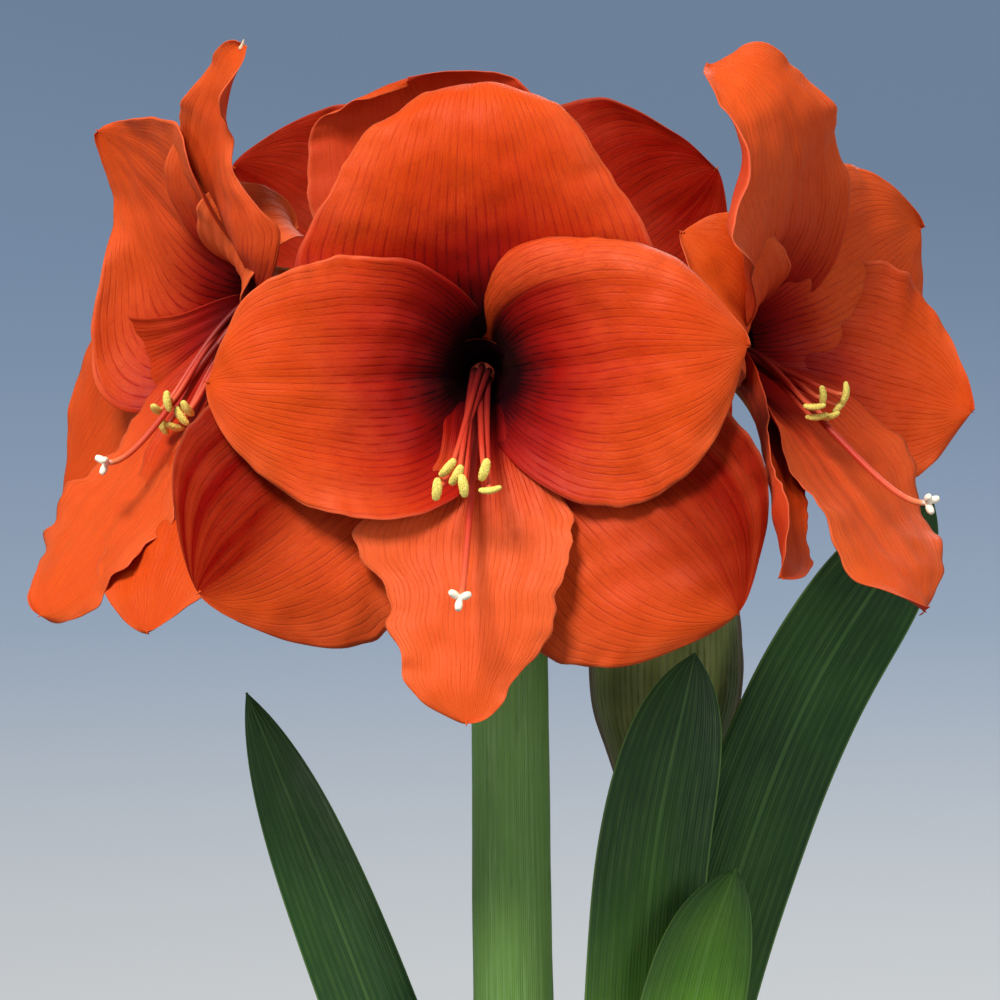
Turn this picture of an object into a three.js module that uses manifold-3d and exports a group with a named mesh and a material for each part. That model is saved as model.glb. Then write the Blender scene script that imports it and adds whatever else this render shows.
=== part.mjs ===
// A potted amaryllis in flower: a terracotta pot of soil, one big bulb half out of it, strap leaves,
// a scape with an umbel of four trumpet blooms, and a second scape that still carries a closed bud.
// Millimetres, +Z up. The origin is the centre of the pot's flat foot. The viewer stands at -Y.
import * as THREE from 'three';
import { mergeVertices } from 'three/addons/utils/BufferGeometryUtils.js';
import Module from 'manifold-3d';

const wasm = await Module();
wasm.setup();

// Driving dimensions.
const CLEARANCE = 0.3;
const POT = { height: 140, topRadius: 80, footRadius: 55, wall: 7, floor: 8, bandHeight: 28, sides: 30 };
const DRAIN = { count: 3, radius: 6, circle: 26 };
const SOIL_TOP = 118;
const BULB = { base: 66, neckTop: 186, radius: 52, neckX: 37, neckY: 30, neckCentre: [-1, 1] };
const SCAPE = { foot: [-17, -3, 150], top: [-23.5, -5, 512], footRadius: 13.4, topRadius: 11.4 };
const SECOND = { foot: [17, 13, 150], top: [24, 20, 394], footRadius: 11.8, topRadius: 10.6 };
const BUD = { bottom: 394.3, tip: 516, halfWidth: 23.6, flatness: 0.8 };
const TUBE_RADIUS = 5.5;
const TEPAL_ROWS = 8;
const TEPAL_COLUMNS = 4;
const LEAF_ROWS = 12;
const LEAF_COLUMNS = 4;

// Tepals of one bloom. turn is the angle about the bloom's axis, 0 at the top and positive to the
// bloom's own right, in degrees. flare lists the midrib's angle to the bloom's axis at even stations
// from root to tip, and cup the angle that each margin is turned inwards there. counter and clock are
// the breadths of the two halves at even stations, on the sides against and along the clock.
const OUTER = 'outer';
const INNER = 'inner';
const BLOOMS = [
  {
    name: 'front', base: [-31, -79, 531], azimuth: -3, elevation: -2,
    tepals: [
      {
        ring: OUTER, turn: 1, length: 107, wave: 0.8, bend: -4,
        flare: [14, 46, 60, 72, 108, 215], cup: [62, 42, 8, -14, -26, -30],
        counter: [0, 32, 51, 53, 47, 40, 34, 26, 14], clock: [0, 32, 50, 52, 46, 38, 32, 25, 14],
      },
      {
        ring: OUTER, turn: -128, length: 111, wave: 1.0,
        flare: [14, 50, 74, 78, 92], cup: [62, 48, 6, -18, -24],
        counter: [0, 14, 26, 36, 41, 43, 41, 34, 20], clock: [0, 14, 26, 35, 40, 42, 41, 35, 18],
      },
      {
        ring: OUTER, turn: 132, length: 112, wave: 1.0,
        flare: [14, 50, 72, 76, 88], cup: [62, 48, 6, -16, -24],
        counter: [0, 14, 25, 34, 39, 41, 39, 32, 16], clock: [0, 14, 27, 37, 44, 47, 45, 37, 20],
      },
      {
        ring: INNER, turn: -93, length: 97, wave: 1.0, bend: 4,
        flare: [12, 34, 58, 82, 132], cup: [60, 46, 12, -6, -14],
        counter: [0, 22, 36, 42, 42, 38, 32, 25, 14], clock: [0, 22, 31, 35, 36, 35, 32, 26, 16],
      },
      {
        ring: INNER, turn: 84, length: 98, wave: 1.0, roll: [[0, -70, -95, -100, -70, 0], [0, 0]], rollFrom: 0.62,
        flare: [12, 34, 58, 80, 128], cup: [60, 46, 12, -4, -14],
        counter: [0, 28, 37, 40, 40, 39, 34, 26, 13], clock: [0, 20, 32, 38, 41, 41, 36, 28, 14],
      },
      {
        ring: INNER, turn: 181, length: 117, wave: 1.5, waves: 3, tip: 20,
        flare: [14, 42, 66, 72, 84], cup: [60, 42, 14, -6, -10],
        counter: [0, 10, 16, 20, 24, 27, 29, 28, 25, 22, 21, 12, 13],
        clock: [0, 10, 17, 21, 25, 27, 30, 30, 24, 24, 19, 17, 8],
      },
    ],
    anthers: [[-10, -32, 58], [-7, -26, 56], [-4.4, -28, 58], [-2.4, -31, 59], [3.5, -26.5, 57], [5.2, -32, 58]],
    lie: [[0.1, 1, 0.1], [0.7, 0.8, 0.1], [0.5, 0.9, 0.2], [-0.15, 1, 0.1], [0.3, 1, 0.1], [1, 0.15, 0.1]],
    stigma: [-2.5, -62, 75],
  },
  {
    name: 'left', base: [-90, -42, 556], azimuth: -62, elevation: -10,
    tepals: [
      {
        ring: OUTER, turn: 24, length: 93, wave: 1.5, twist: 15, bend: 14,
        roll: [[0, 0], [0, -30, -100, -120, -60, 40, 60]], rollFrom: 0.3,
        flare: [14, 54, 82, 92, 120], cup: [62, 48, 30, 30, 40],
        counter: [0, 12, 18, 22, 22, 18, 13, 11, 7], clock: [0, 16, 28, 34, 30, 18, 10, 12, 7],
      },
      {
        ring: OUTER, turn: -125, length: 108, wave: 2.0,
        flare: [14, 50, 70, 70, 52], cup: [62, 48, 6, -12, -12],
        counter: [0, 14, 26, 33, 35, 33, 28, 20, 8], clock: [0, 7, 12, 22, 36, 43, 38, 27, 10],
      },
      {
        ring: OUTER, turn: 164, length: 116, wave: 1.5, twist: 42,
        flare: [14, 44, 54, 56, 66], cup: [62, 46, 12, -6, 0],
        counter: [0, 8, 14, 20, 24, 26, 26, 22, 12], clock: [0, 8, 14, 20, 24, 26, 26, 22, 12],
      },
      {
        ring: INNER, turn: -34, length: 77, wave: 1.2,
        flare: [14, 50, 72, 76, 66], cup: [60, 50, 26, 14, 10],
        counter: [0, 34, 54, 56, 46, 32, 21, 13, 5], clock: [0, 18, 30, 38, 42, 40, 32, 20, 6],
      },
      {
        ring: INNER, turn: 56, length: 66, wave: 1.0,
        flare: [12, 36, 86, 156, 230], cup: [60, 46, 30, 20, 10],
        counter: [0, 10, 16, 20, 21, 20, 17, 12, 6], clock: [0, 10, 16, 20, 21, 20, 17, 12, 6],
      },
      {
        ring: INNER, turn: 188, length: 120, wave: 2.5, waves: 3, bend: 10,
        flare: [14, 44, 44, 44, 50], cup: [60, 40, 14, -2, -8],
        counter: [0, 8, 14, 20, 24, 25, 25, 25, 16], clock: [0, 8, 14, 20, 24, 27, 29, 29, 20],
      },
    ],
    anthers: [[-1, -32, 47], [1, -27, 49], [5, -25, 47], [4, -30, 43], [7, -28, 42], [1, -33, 44]],
    lie: [[0.3, 1, 0.3], [0.6, 0.5, 0.7], [0.2, 1, 0.1], [-0.3, 1, 0.4], [0.4, 0.8, 0.6], [0.2, 0.4, 1]],
    stigma: [5, -39.4, 70],
  },
  {
    name: 'right', base: [36, -46, 540], azimuth: 54, elevation: -3,
    tepals: [
      {
        ring: OUTER, turn: -16, length: 116, wave: 2.2, waves: 4.5, bend: -26,
        roll: [[0, 0, 30, 50, 50, 60, 0], [0, 0]], rollFrom: 0.5,
        flare: [14, 44, 62, 76, 112, 195], cup: [62, 42, 14, 4, 10],
        counter: [0, 18, 30, 38, 46, 56, 40, 24, 12], clock: [0, 16, 26, 28, 26, 22, 18, 13, 6],
      },
      {
        ring: OUTER, turn: 104, length: 83, wave: 2.0,
        flare: [14, 42, 54, 56, 60], cup: [62, 48, 10, -8, -14],
        counter: [0, 14, 26, 34, 37, 36, 32, 24, 10], clock: [0, 14, 26, 34, 37, 36, 30, 22, 10],
      },
      {
        ring: OUTER, turn: -136, length: 112, wave: 1.0,
        flare: [14, 42, 56, 58, 64], cup: [62, 52, 44, 44, 70],
        counter: [0, 12, 15, 16, 16, 14, 14, 15, 9], clock: [0, 12, 15, 16, 16, 14, 14, 15, 9],
      },
      {
        ring: INNER, turn: 58, length: 84, wave: 1.2,
        flare: [14, 42, 70, 84, 90], cup: [60, 46, 12, -4, 0],
        counter: [0, 18, 32, 40, 42, 40, 34, 26, 14], clock: [0, 20, 32, 38, 40, 39, 35, 28, 14],
      },
      {
        ring: INNER, turn: -54, length: 76, wave: 1.2,
        flare: [12, 30, 60, 110, 160], cup: [60, 44, 20, 10, 10],
        counter: [0, 12, 20, 24, 26, 26, 22, 17, 8], clock: [0, 12, 15, 17, 17, 16, 14, 12, 6],
      },
      {
        ring: INNER, turn: 180, length: 108, wave: 2.5, waves: 3,
        flare: [14, 34, 44, 48, 56], cup: [60, 42, 16, -4, -10],
        counter: [0, 14, 26, 34, 38, 38, 34, 26, 12], clock: [0, 10, 17, 22, 25, 26, 26, 23, 12],
      },
    ],
    anthers: [[-6, -13, 46], [-10, -16, 46], [-3, -18.7, 47], [-3, -11.7, 52], [1, -15, 48], [-7, -19, 45]],
    lie: [[-0.4, 1, 0.2], [0.5, 0.1, 1], [0.1, 0.3, 1], [0, 1, 0.1], [0.3, 0.8, 0.4], [0.6, 0.2, 0.9]],
    stigma: [-6, -42.3, 84],
  },
  {
    name: 'back', base: [-35, 50, 541], azimuth: 178, elevation: 6,
    tepals: [
      {
        ring: OUTER, turn: 14, length: 114, wave: 1.5,
        flare: [14, 42, 60, 76, 110, 200], cup: [62, 42, 8, -10, -16],
        counter: [0, 14, 26, 36, 41, 42, 39, 34, 18], clock: [0, 14, 26, 36, 41, 42, 39, 34, 18],
      },
      {
        ring: OUTER, turn: -122, length: 106, wave: 1.5,
        flare: [14, 46, 68, 74, 84], cup: [62, 48, 8, -12, -16],
        counter: [0, 14, 26, 35, 39, 40, 38, 31, 14], clock: [0, 14, 26, 35, 39, 40, 38, 31, 14],
      },
      {
        ring: OUTER, turn: 122, length: 106, wave: 1.5,
        flare: [14, 46, 68, 74, 84], cup: [62, 48, 8, -12, -16],
        counter: [0, 14, 26, 35, 39, 40, 38, 31, 14], clock: [0, 14, 26, 35, 39, 40, 38, 31, 14],
      },
      {
        ring: INNER, turn: -54, length: 112, wave: 1.5,
        flare: [12, 44, 70, 84, 110], cup: [60, 46, 14, 0, -8],
        counter: [0, 14, 26, 34, 37, 36, 33, 27, 14], clock: [0, 14, 28, 38, 45, 48, 47, 42, 26],
      },
      {
        ring: INNER, turn: 54, length: 114, wave: 1.5,
        flare: [12, 44, 70, 84, 110], cup: [60, 46, 14, 0, -8],
        counter: [0, 14, 28, 38, 44, 46, 44, 38, 22], clock: [0, 14, 26, 34, 37, 36, 33, 27, 14],
      },
      {
        ring: INNER, turn: 180, length: 110, wave: 2.0, waves: 3,
        flare: [14, 42, 62, 70, 84], cup: [60, 42, 14, -6, -10],
        counter: [0, 10, 18, 25, 29, 30, 28, 23, 10], clock: [0, 10, 18, 25, 29, 30, 28, 23, 10],
      },
    ],
    anthers: [[-8, -30, 56], [-4, -34, 58], [0, -29, 57], [4, -33, 58], [8, -31, 56], [1, -37, 60]],
    lie: [[0.2, 1, 0.2], [0.7, 0.7, 0.1], [-0.3, 1, 0.2], [0.1, 1, 0.3], [0.6, 0.6, 0.4], [1, 0.2, 0.2]],
    stigma: [2, -46, 80],
  },
];

// Strap leaves: the centreline climbs through the points listed, the blade faces the viewer and
// rounds off to its tip over the length called taper.
const LEAVES = [
  {
    name: 'left', path: [[-20, 15, 160], [-36, 16, 250], [-67.5, 14, 338], [-88, 11, 391], [-105, 8, 434]],
    root: 10.5, half: 15, taper: 30, face: [0.15, -1, 0],
  },
  {
    name: 'middle', path: [[13, -10.5, 160], [14, -12.5, 250], [17.5, -14, 338], [22, -14, 390], [34, -12, 447]],
    root: 11, half: 17.6, taper: 15, face: [0.1, -1, 0],
  },
  {
    name: 'small', path: [[12, -18, 160], [20, -23, 250], [31, -26, 330], [38, -27, 360], [46, -27, 382]],
    root: 9, half: 16.8, taper: 15, face: [0, -1, 0.1],
  },
  {
    name: 'right', path: [[12, -3.5, 160], [16, -1.5, 255], [39, 0, 350], [69, 0, 432], [108, -3, 494]],
    root: 10.5, half: 18.6, taper: 15, face: [0.25, -1, 0],
  },
];

const COLOURS = {
  terracotta: new THREE.MeshStandardMaterial({ color: 0xb4603c, roughness: 0.85, metalness: 0 }),
  soil: new THREE.MeshStandardMaterial({ color: 0x2e2119, roughness: 0.95, metalness: 0 }),
  bulb: new THREE.MeshStandardMaterial({ color: 0x8a5a34, roughness: 0.7, metalness: 0 }),
  stem: new THREE.MeshStandardMaterial({ color: 0x5a7a3c, roughness: 0.5, metalness: 0 }),
  spathe: new THREE.MeshStandardMaterial({ color: 0x6b6a34, roughness: 0.6, metalness: 0 }),
  leaf: new THREE.MeshStandardMaterial({ color: 0x2c5230, roughness: 0.45, metalness: 0 }),
  petal: new THREE.MeshStandardMaterial({ color: 0xe2522a, roughness: 0.5, metalness: 0 }),
  stamen: new THREE.MeshStandardMaterial({ color: 0xe8c25a, roughness: 0.6, metalness: 0 }),
  bract: new THREE.MeshStandardMaterial({ color: 0x9a7350, roughness: 0.8, metalness: 0 }),
};

const V = (p) => new THREE.Vector3(...p);
const radians = THREE.MathUtils.degToRad;
const clamp01 = (x) => Math.min(1, Math.max(0, x));

// A smooth cubic through evenly spaced stations, at u from 0 to 1.
function along(stations, u) {
  const n = stations.length - 1;
  const slope = (i) => {
    if (i === 0) return stations[1] - stations[0];
    if (i === n) return stations[n] - stations[n - 1];
    return (stations[i + 1] - stations[i - 1]) / 2;
  };
  const x = clamp01(u) * n;
  const i = Math.min(Math.floor(x), n - 1);
  const f = x - i;
  return (2 * f ** 3 - 3 * f ** 2 + 1) * stations[i] + (f ** 3 - 2 * f ** 2 + f) * slope(i)
    + (3 * f ** 2 - 2 * f ** 3) * stations[i + 1] + (f ** 3 - f ** 2) * slope(i + 1);
}

// The same geometry with shared vertices only, and without triangles of no area.
function closed(source) {
  const plain = new THREE.BufferGeometry();
  plain.setAttribute('position', source.getAttribute('position').clone());
  if (source.index) plain.setIndex(source.index.clone());
  const merged = mergeVertices(plain, 1e-4);
  const kept = [];
  const index = merged.index.array;
  for (let k = 0; k < index.length; k += 3) {
    const [a, b, c] = [index[k], index[k + 1], index[k + 2]];
    if (a !== b && b !== c && c !== a) kept.push(a, b, c);
  }
  merged.setIndex(kept);
  return merged;
}

function toSolid(geometry) {
  const g = closed(geometry);
  const solid = new wasm.Manifold(new wasm.Mesh({
    numProp: 3,
    vertProperties: new Float32Array(g.getAttribute('position').array),
    triVerts: new Uint32Array(g.index.array),
  }));
  return solid;
}

// The solid's outer shell as a geometry. Small pockets sealed between overlapping blades are left out.
function toGeometry(solid) {
  const mesh = solid.getMesh();
  const triangles = mesh.triVerts;
  const root = Array.from({ length: mesh.vertProperties.length / 3 }, (_, k) => k);
  const find = (k) => {
    let r = k;
    while (root[r] !== r) r = root[r];
    root[k] = r;
    return r;
  };
  for (let k = 0; k < triangles.length; k += 3) {
    root[find(triangles[k + 1])] = find(triangles[k]);
    root[find(triangles[k + 2])] = find(triangles[k]);
  }
  const tally = new Map();
  for (let k = 0; k < triangles.length; k += 3) {
    const shell = find(triangles[k]);
    tally.set(shell, (tally.get(shell) || 0) + 1);
  }
  const largest = [...tally.entries()].sort((a, b) => b[1] - a[1])[0][0];
  const index = [];
  for (let k = 0; k < triangles.length; k += 3) {
    if (find(triangles[k]) === largest) index.push(triangles[k], triangles[k + 1], triangles[k + 2]);
  }
  const geometry = new THREE.BufferGeometry();
  geometry.setAttribute('position', new THREE.BufferAttribute(new Float32Array(mesh.vertProperties), 3));
  geometry.setIndex(index);
  return geometry;
}

// A turned solid about Z. The profile is a list of [radius, height] that starts and ends on the axis.
function turned(profile, sides) {
  const points = profile.map(([r, h]) => new THREE.Vector2(r, h));
  const lathe = new THREE.LatheGeometry(points, sides);
  lathe.rotateX(Math.PI / 2);
  const solid = toSolid(lathe);
  if (solid.volume() > 0) return lathe;
  const flipped = closed(lathe);
  const index = Array.from(flipped.index.array);
  for (let k = 0; k < index.length; k += 3) [index[k + 1], index[k + 2]] = [index[k + 2], index[k + 1]];
  flipped.setIndex(index);
  return flipped;
}

// A solid through rings of equal point count, closed by a fan at each end.
function loft(rings) {
  const count = rings[0].length;
  const positions = rings.flat().flatMap((p) => [p.x, p.y, p.z]);
  const index = [];
  for (let i = 0; i < rings.length - 1; i += 1) {
    for (let j = 0; j < count; j += 1) {
      const a = i * count + j;
      const b = i * count + ((j + 1) % count);
      index.push(a, b, b + count, a, b + count, a + count);
    }
  }
  const ends = [0, rings.length - 1];
  for (const end of ends) {
    const centre = rings[end].reduce((s, p) => s.add(p), new THREE.Vector3()).divideScalar(count);
    const c = positions.length / 3;
    positions.push(centre.x, centre.y, centre.z);
    for (let j = 0; j < count; j += 1) {
      const a = end * count + j;
      const b = end * count + ((j + 1) % count);
      if (end === 0) index.push(b, a, c);
      else index.push(a, b, c);
    }
  }
  const geometry = new THREE.BufferGeometry();
  geometry.setAttribute('position', new THREE.Float32BufferAttribute(positions, 3));
  geometry.setIndex(index);
  return geometry;
}

// Rings round a curve. radius and flat give each ring's half-width and its depth as a share of it.
function rod(curve, steps, sides, radius, flat = () => 1) {
  const rings = [];
  const reference = new THREE.Vector3(1, 0, 0);
  for (let i = 0; i <= steps; i += 1) {
    const u = i / steps;
    const tangent = curve.getTangentAt(u);
    reference.addScaledVector(tangent, -reference.dot(tangent)).normalize();
    const across = reference.clone();
    const deep = new THREE.Vector3().crossVectors(tangent, across);
    const centre = curve.getPointAt(u);
    rings.push(Array.from({ length: sides }, (_, j) => {
      const a = (2 * Math.PI * j) / sides;
      return centre.clone()
        .addScaledVector(across, radius(u) * Math.cos(a))
        .addScaledVector(deep, radius(u) * flat(u) * Math.sin(a));
    }));
  }
  return loft(rings);
}

// A thin blade from a grid of points on its middle surface. thickness(u, v) is measured square to it,
// and both faces are split into triangles alike.
function sheet(grid, thickness) {
  const rows = grid.length - 1;
  const columns = grid[0].length - 1;
  const at = (i, j) => grid[Math.min(rows, Math.max(0, i))][Math.min(columns, Math.max(0, j))];
  const front = [];
  const back = [];
  for (let i = 0; i <= rows; i += 1) {
    for (let j = 0; j <= columns; j += 1) {
      const du = at(i + 1, j).clone().sub(at(i - 1, j));
      const dv = at(i, j + 1).clone().sub(at(i, j - 1));
      const normal = du.cross(dv).normalize();
      const half = thickness(i / rows, (2 * j) / columns - 1) / 2;
      front.push(at(i, j).clone().addScaledVector(normal, half));
      back.push(at(i, j).clone().addScaledVector(normal, -half));
    }
  }
  const id = (i, j) => i * (columns + 1) + j;
  const under = front.length;
  const index = [];
  for (let i = 0; i < rows; i += 1) {
    for (let j = 0; j < columns; j += 1) {
      const [a, b, c, d] = [id(i, j), id(i + 1, j), id(i + 1, j + 1), id(i, j + 1)];
      index.push(a, b, c, a, c, d);
      index.push(a + under, c + under, b + under, a + under, d + under, c + under);
    }
  }
  const rim = [];
  for (let j = 0; j < columns; j += 1) rim.push(id(0, j));
  for (let i = 0; i < rows; i += 1) rim.push(id(i, columns));
  for (let j = columns; j > 0; j -= 1) rim.push(id(rows, j));
  for (let i = rows; i > 0; i -= 1) rim.push(id(i, 0));
  rim.forEach((a, k) => {
    const b = rim[(k + 1) % rim.length];
    index.push(a, b, b + under, a, b + under, a + under);
  });
  const geometry = new THREE.BufferGeometry();
  const places = [...front, ...back].flatMap((p) => [p.x, p.y, p.z]);
  geometry.setAttribute('position', new THREE.Float32BufferAttribute(places, 3));
  geometry.setIndex(index);
  return geometry;
}

// Middle surface of one tepal in its bloom's own frame: x to the right, y up, z out along the axis.
// The midrib leaves the throat tube and turns away from the axis as flare says. counter and clock are
// the breadths of its two halves, on the sides against and along the clock, closed at the tip by
// sqrt(1 - u^tip). Across it the surface turns by cup times v, and beyond rollFrom by roll as well.
function tepalGrid(t, rootRadius) {
  const { turn, length, flare, cup, counter, clock, wave = 1, waves = 2.5, bend = 0, twist = 0, tip = 12 } = t;
  const { roll = [[0, 0], [0, 0]], rollFrom = 0.45 } = t;
  const fine = 8;
  const steps = TEPAL_ROWS * fine;
  const a = radians(turn);
  const out = new THREE.Vector3(Math.sin(a), Math.cos(a), 0);
  const side = new THREE.Vector3(Math.cos(a), -Math.sin(a), 0);
  const axis = new THREE.Vector3(0, 0, 1);
  const tangentAt = (u) => {
    const theta = radians(along(flare, u));
    const lean = radians(bend) * u ** 1.5;
    const radial = out.clone().multiplyScalar(Math.cos(lean)).addScaledVector(side, Math.sin(lean));
    const tangent = axis.clone().multiplyScalar(Math.cos(theta)).addScaledVector(radial, Math.sin(theta));
    return { theta, radial, tangent };
  };
  const mid = out.clone().multiplyScalar(rootRadius);
  const rows = [];
  for (let k = 0; k <= steps; k += 1) {
    const u = k / steps;
    const { theta, radial, tangent } = tangentAt(u);
    if (k > 0) {
      const before = tangentAt((k - 1) / steps).tangent;
      mid.addScaledVector(before.add(tangent), length / steps / 2);
    }
    if (k % fine) continue;
    let inward = axis.clone().multiplyScalar(Math.sin(theta)).addScaledVector(radial, -Math.cos(theta));
    let across = new THREE.Vector3().crossVectors(inward, tangent);
    if (across.dot(side) < 0) across.negate();
    const tw = radians(twist) * u ** 1.3;
    const turnedAcross = across.clone().multiplyScalar(Math.cos(tw)).addScaledVector(inward, Math.sin(tw));
    inward = inward.multiplyScalar(Math.cos(tw)).addScaledVector(across, -Math.sin(tw));
    across = turnedAcross;
    const throat = 1.17 * rootRadius * (1 - u);
    const row = [];
    for (const [sign, breadths, curls] of [[-1, counter, roll[0]], [1, clock, roll[1]]]) {
      const half = Math.max(1.2, Math.hypot(throat, along(breadths, u) * Math.sqrt(1 - u ** tip)));
      const arc = radians(along(cup, u));
      const curl = radians(along(curls, u));
      let x = 0;
      let lift = 0;
      for (let j = 1; j <= (TEPAL_COLUMNS / 2) * fine; j += 1) {
        const step = 2 / (TEPAL_COLUMNS * fine);
        const w = (j - 0.5) * step;
        const angle = arc * w + curl * clamp01((w - rollFrom) / (1 - rollFrom)) ** 1.5;
        x += Math.cos(angle) * step;
        lift += Math.sin(angle) * step;
        if (j % fine) continue;
        const v = j * step;
        const ruffle = wave * v ** 2.5 * clamp01((u - 0.25) / 0.35) * Math.sin(2 * Math.PI * waves * u + 1.3 * sign);
        row.push(mid.clone().addScaledVector(across, sign * half * x).addScaledVector(inward, half * lift + ruffle));
      }
      if (sign < 0) row.reverse().push(mid.clone());
    }
    rows.push(row);
  }
  return rows;
}

// The bloom: a short closed tube with six tepals grown onto it.
function bloomGeometry(bloom) {
  const cup = turned([[0, 0], [7.4, 0], [8.6, 5], [10.8, 11], [8.8, 11], [5, 2.5], [0, 2.5]], 10);
  let solid = toSolid(cup);
  for (const t of bloom.tepals) {
    const rootRadius = TUBE_RADIUS + (t.ring === OUTER ? 1.7 : 0);
    const blade = sheet(tepalGrid(t, rootRadius), (u, v) => 0.8 + 0.7 * (1 - u) * (1 - v * v));
    solid = solid.add(toSolid(blade));
  }
  return toGeometry(solid);
}

// Stamens and style of one bloom: a small disc low in the tube carries the filaments and the style.
function stamenGeometry(bloom) {
  let solid = toSolid(turned([[0, 2.8], [3.7, 2.8], [3.7, 5.2], [0, 5.2]], 8));
  bloom.anthers.forEach((p, k) => {
    const a = (2 * Math.PI * (k + 0.5)) / 6;
    const root = new THREE.Vector3(2.4 * Math.cos(a), 2.4 * Math.sin(a), 4);
    const tip = V(p);
    const curve = new THREE.CubicBezierCurve3(
      root,
      new THREE.Vector3(root.x, root.y, p[2] * 0.5),
      new THREE.Vector3(p[0] * 0.8, p[1] - 3, p[2] * 0.92),
      tip,
    );
    solid = solid.add(toSolid(rod(curve, 4, 3, (u) => 1 - 0.3 * u)));
    const lie = V(bloom.lie[k]).normalize();
    const low = tip.clone().addScaledVector(lie, -3.2);
    const anther = new THREE.LineCurve3(low, tip.clone().addScaledVector(lie, 3.2));
    solid = solid.add(toSolid(rod(anther, 2, 4, (u) => 0.9 + 0.7 * Math.sin(Math.PI * u))));
  });
  const stigma = V(bloom.stigma);
  const style = new THREE.CubicBezierCurve3(
    new THREE.Vector3(0, 0, 4),
    new THREE.Vector3(0, -4, stigma.z * 0.4),
    new THREE.Vector3(stigma.x * 0.8, stigma.y - 4, stigma.z * 0.8),
    stigma,
  );
  solid = solid.add(toSolid(rod(style, 5, 3, (u) => 1.1 - 0.2 * u)));
  for (let k = 0; k < 3; k += 1) {
    const a = (2 * Math.PI * k) / 3 + 0.4;
    const lobe = new THREE.LineCurve3(
      stigma.clone(),
      stigma.clone().add(new THREE.Vector3(3 * Math.cos(a), 3 * Math.sin(a), 1)),
    );
    solid = solid.add(toSolid(rod(lobe, 1, 3, (u) => 1.1 - 0.3 * u)));
  }
  return toGeometry(solid);
}

// The turned frame of a bloom: x right, y up, z out of the flower. Azimuth 0 faces the viewer at -Y.
function bloomFrame(bloom) {
  const a = radians(bloom.azimuth);
  const e = radians(bloom.elevation);
  const axis = new THREE.Vector3(Math.sin(a) * Math.cos(e), -Math.cos(a) * Math.cos(e), Math.sin(e));
  const right = new THREE.Vector3(Math.cos(a), Math.sin(a), 0);
  const up = new THREE.Vector3().crossVectors(axis, right);
  return { axis, right, up, matrix: new THREE.Matrix4().makeBasis(right, up, axis) };
}

// A strap leaf. swell fattens it evenly, for cutting the slot that it stands in.
function leafGeometry(leaf, swell = 0) {
  const curve = new THREE.CatmullRomCurve3(leaf.path.map(V));
  const length = curve.getLength();
  const grid = [];
  for (let i = 0; i <= LEAF_ROWS; i += 1) {
    const u = (i / LEAF_ROWS) ** 0.85;
    const centre = curve.getPointAt(u);
    const tangent = curve.getTangentAt(u);
    if (swell && i === 0) centre.addScaledVector(tangent, -swell / 2);
    const face = V(leaf.face).normalize();
    const across = new THREE.Vector3().crossVectors(tangent, face).normalize();
    const outward = new THREE.Vector3().crossVectors(across, tangent).normalize();
    const widen = leaf.root + (leaf.half - leaf.root) * THREE.MathUtils.smoothstep(u, 0, 0.5);
    const half = Math.max(1.2, widen * (1 - Math.exp(-(1 - u) * length / leaf.taper))) + swell / 2;
    const row = [];
    for (let j = 0; j <= LEAF_COLUMNS; j += 1) {
      const v = (2 * j) / LEAF_COLUMNS - 1;
      row.push(centre.clone().addScaledVector(across, half * v).addScaledVector(outward, -0.11 * half * v * v));
    }
    grid.push(row);
  }
  return sheet(grid, (u, v) => 1 + (2.6 - 1.2 * u) * (1 - v * v) + swell);
}

// A scape: a stout upright stem. swell fattens it evenly, for cutting the hole that it stands in.
function scapeGeometry(scape, swell = 0) {
  const foot = V(scape.foot);
  const top = V(scape.top);
  const middle = foot.clone().lerp(top, 0.5).add(new THREE.Vector3(scape === SCAPE ? -1.5 : 1, 0, 0));
  foot.z -= swell;
  const curve = new THREE.CatmullRomCurve3([foot, middle, top]);
  return rod(curve, 6, 12, (u) => THREE.MathUtils.lerp(scape.footRadius, scape.topRadius, u) + swell);
}

// A pedicel: the stalk of one bloom, thickened into the ovary just behind the flower.
function pedicelCurve(bloom, k) {
  const a = radians([-95, 175, -5, 85][k]);
  const out = new THREE.Vector3(Math.cos(a), Math.sin(a), 0);
  const top = V(SCAPE.top);
  const root = top.clone().addScaledVector(out, 5.6);
  root.z -= 5;
  const { axis } = bloomFrame(bloom);
  const end = V(bloom.base).addScaledVector(axis, -CLEARANCE);
  return new THREE.CubicBezierCurve3(
    root,
    root.clone().addScaledVector(out, 10).add(new THREE.Vector3(0, 0, 22)),
    end.clone().addScaledVector(axis, -26),
    end,
  );
}

function pedicelGeometry(bloom, k) {
  const curve = pedicelCurve(bloom, k);
  const length = curve.getLength();
  const ovary = (u) => Math.exp(-((((1 - u) * length - 9) / 6) ** 2));
  return rod(curve, 10, 7, (u) => 3.1 + 0.9 * THREE.MathUtils.smoothstep(u, 0.5, 1) + 2.2 * ovary(u));
}

const group = new THREE.Group();

function place(name, geometry, material, parent = group) {
  const mesh = new THREE.Mesh(geometry, material);
  mesh.name = name;
  parent.add(mesh);
  return mesh;
}

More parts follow.
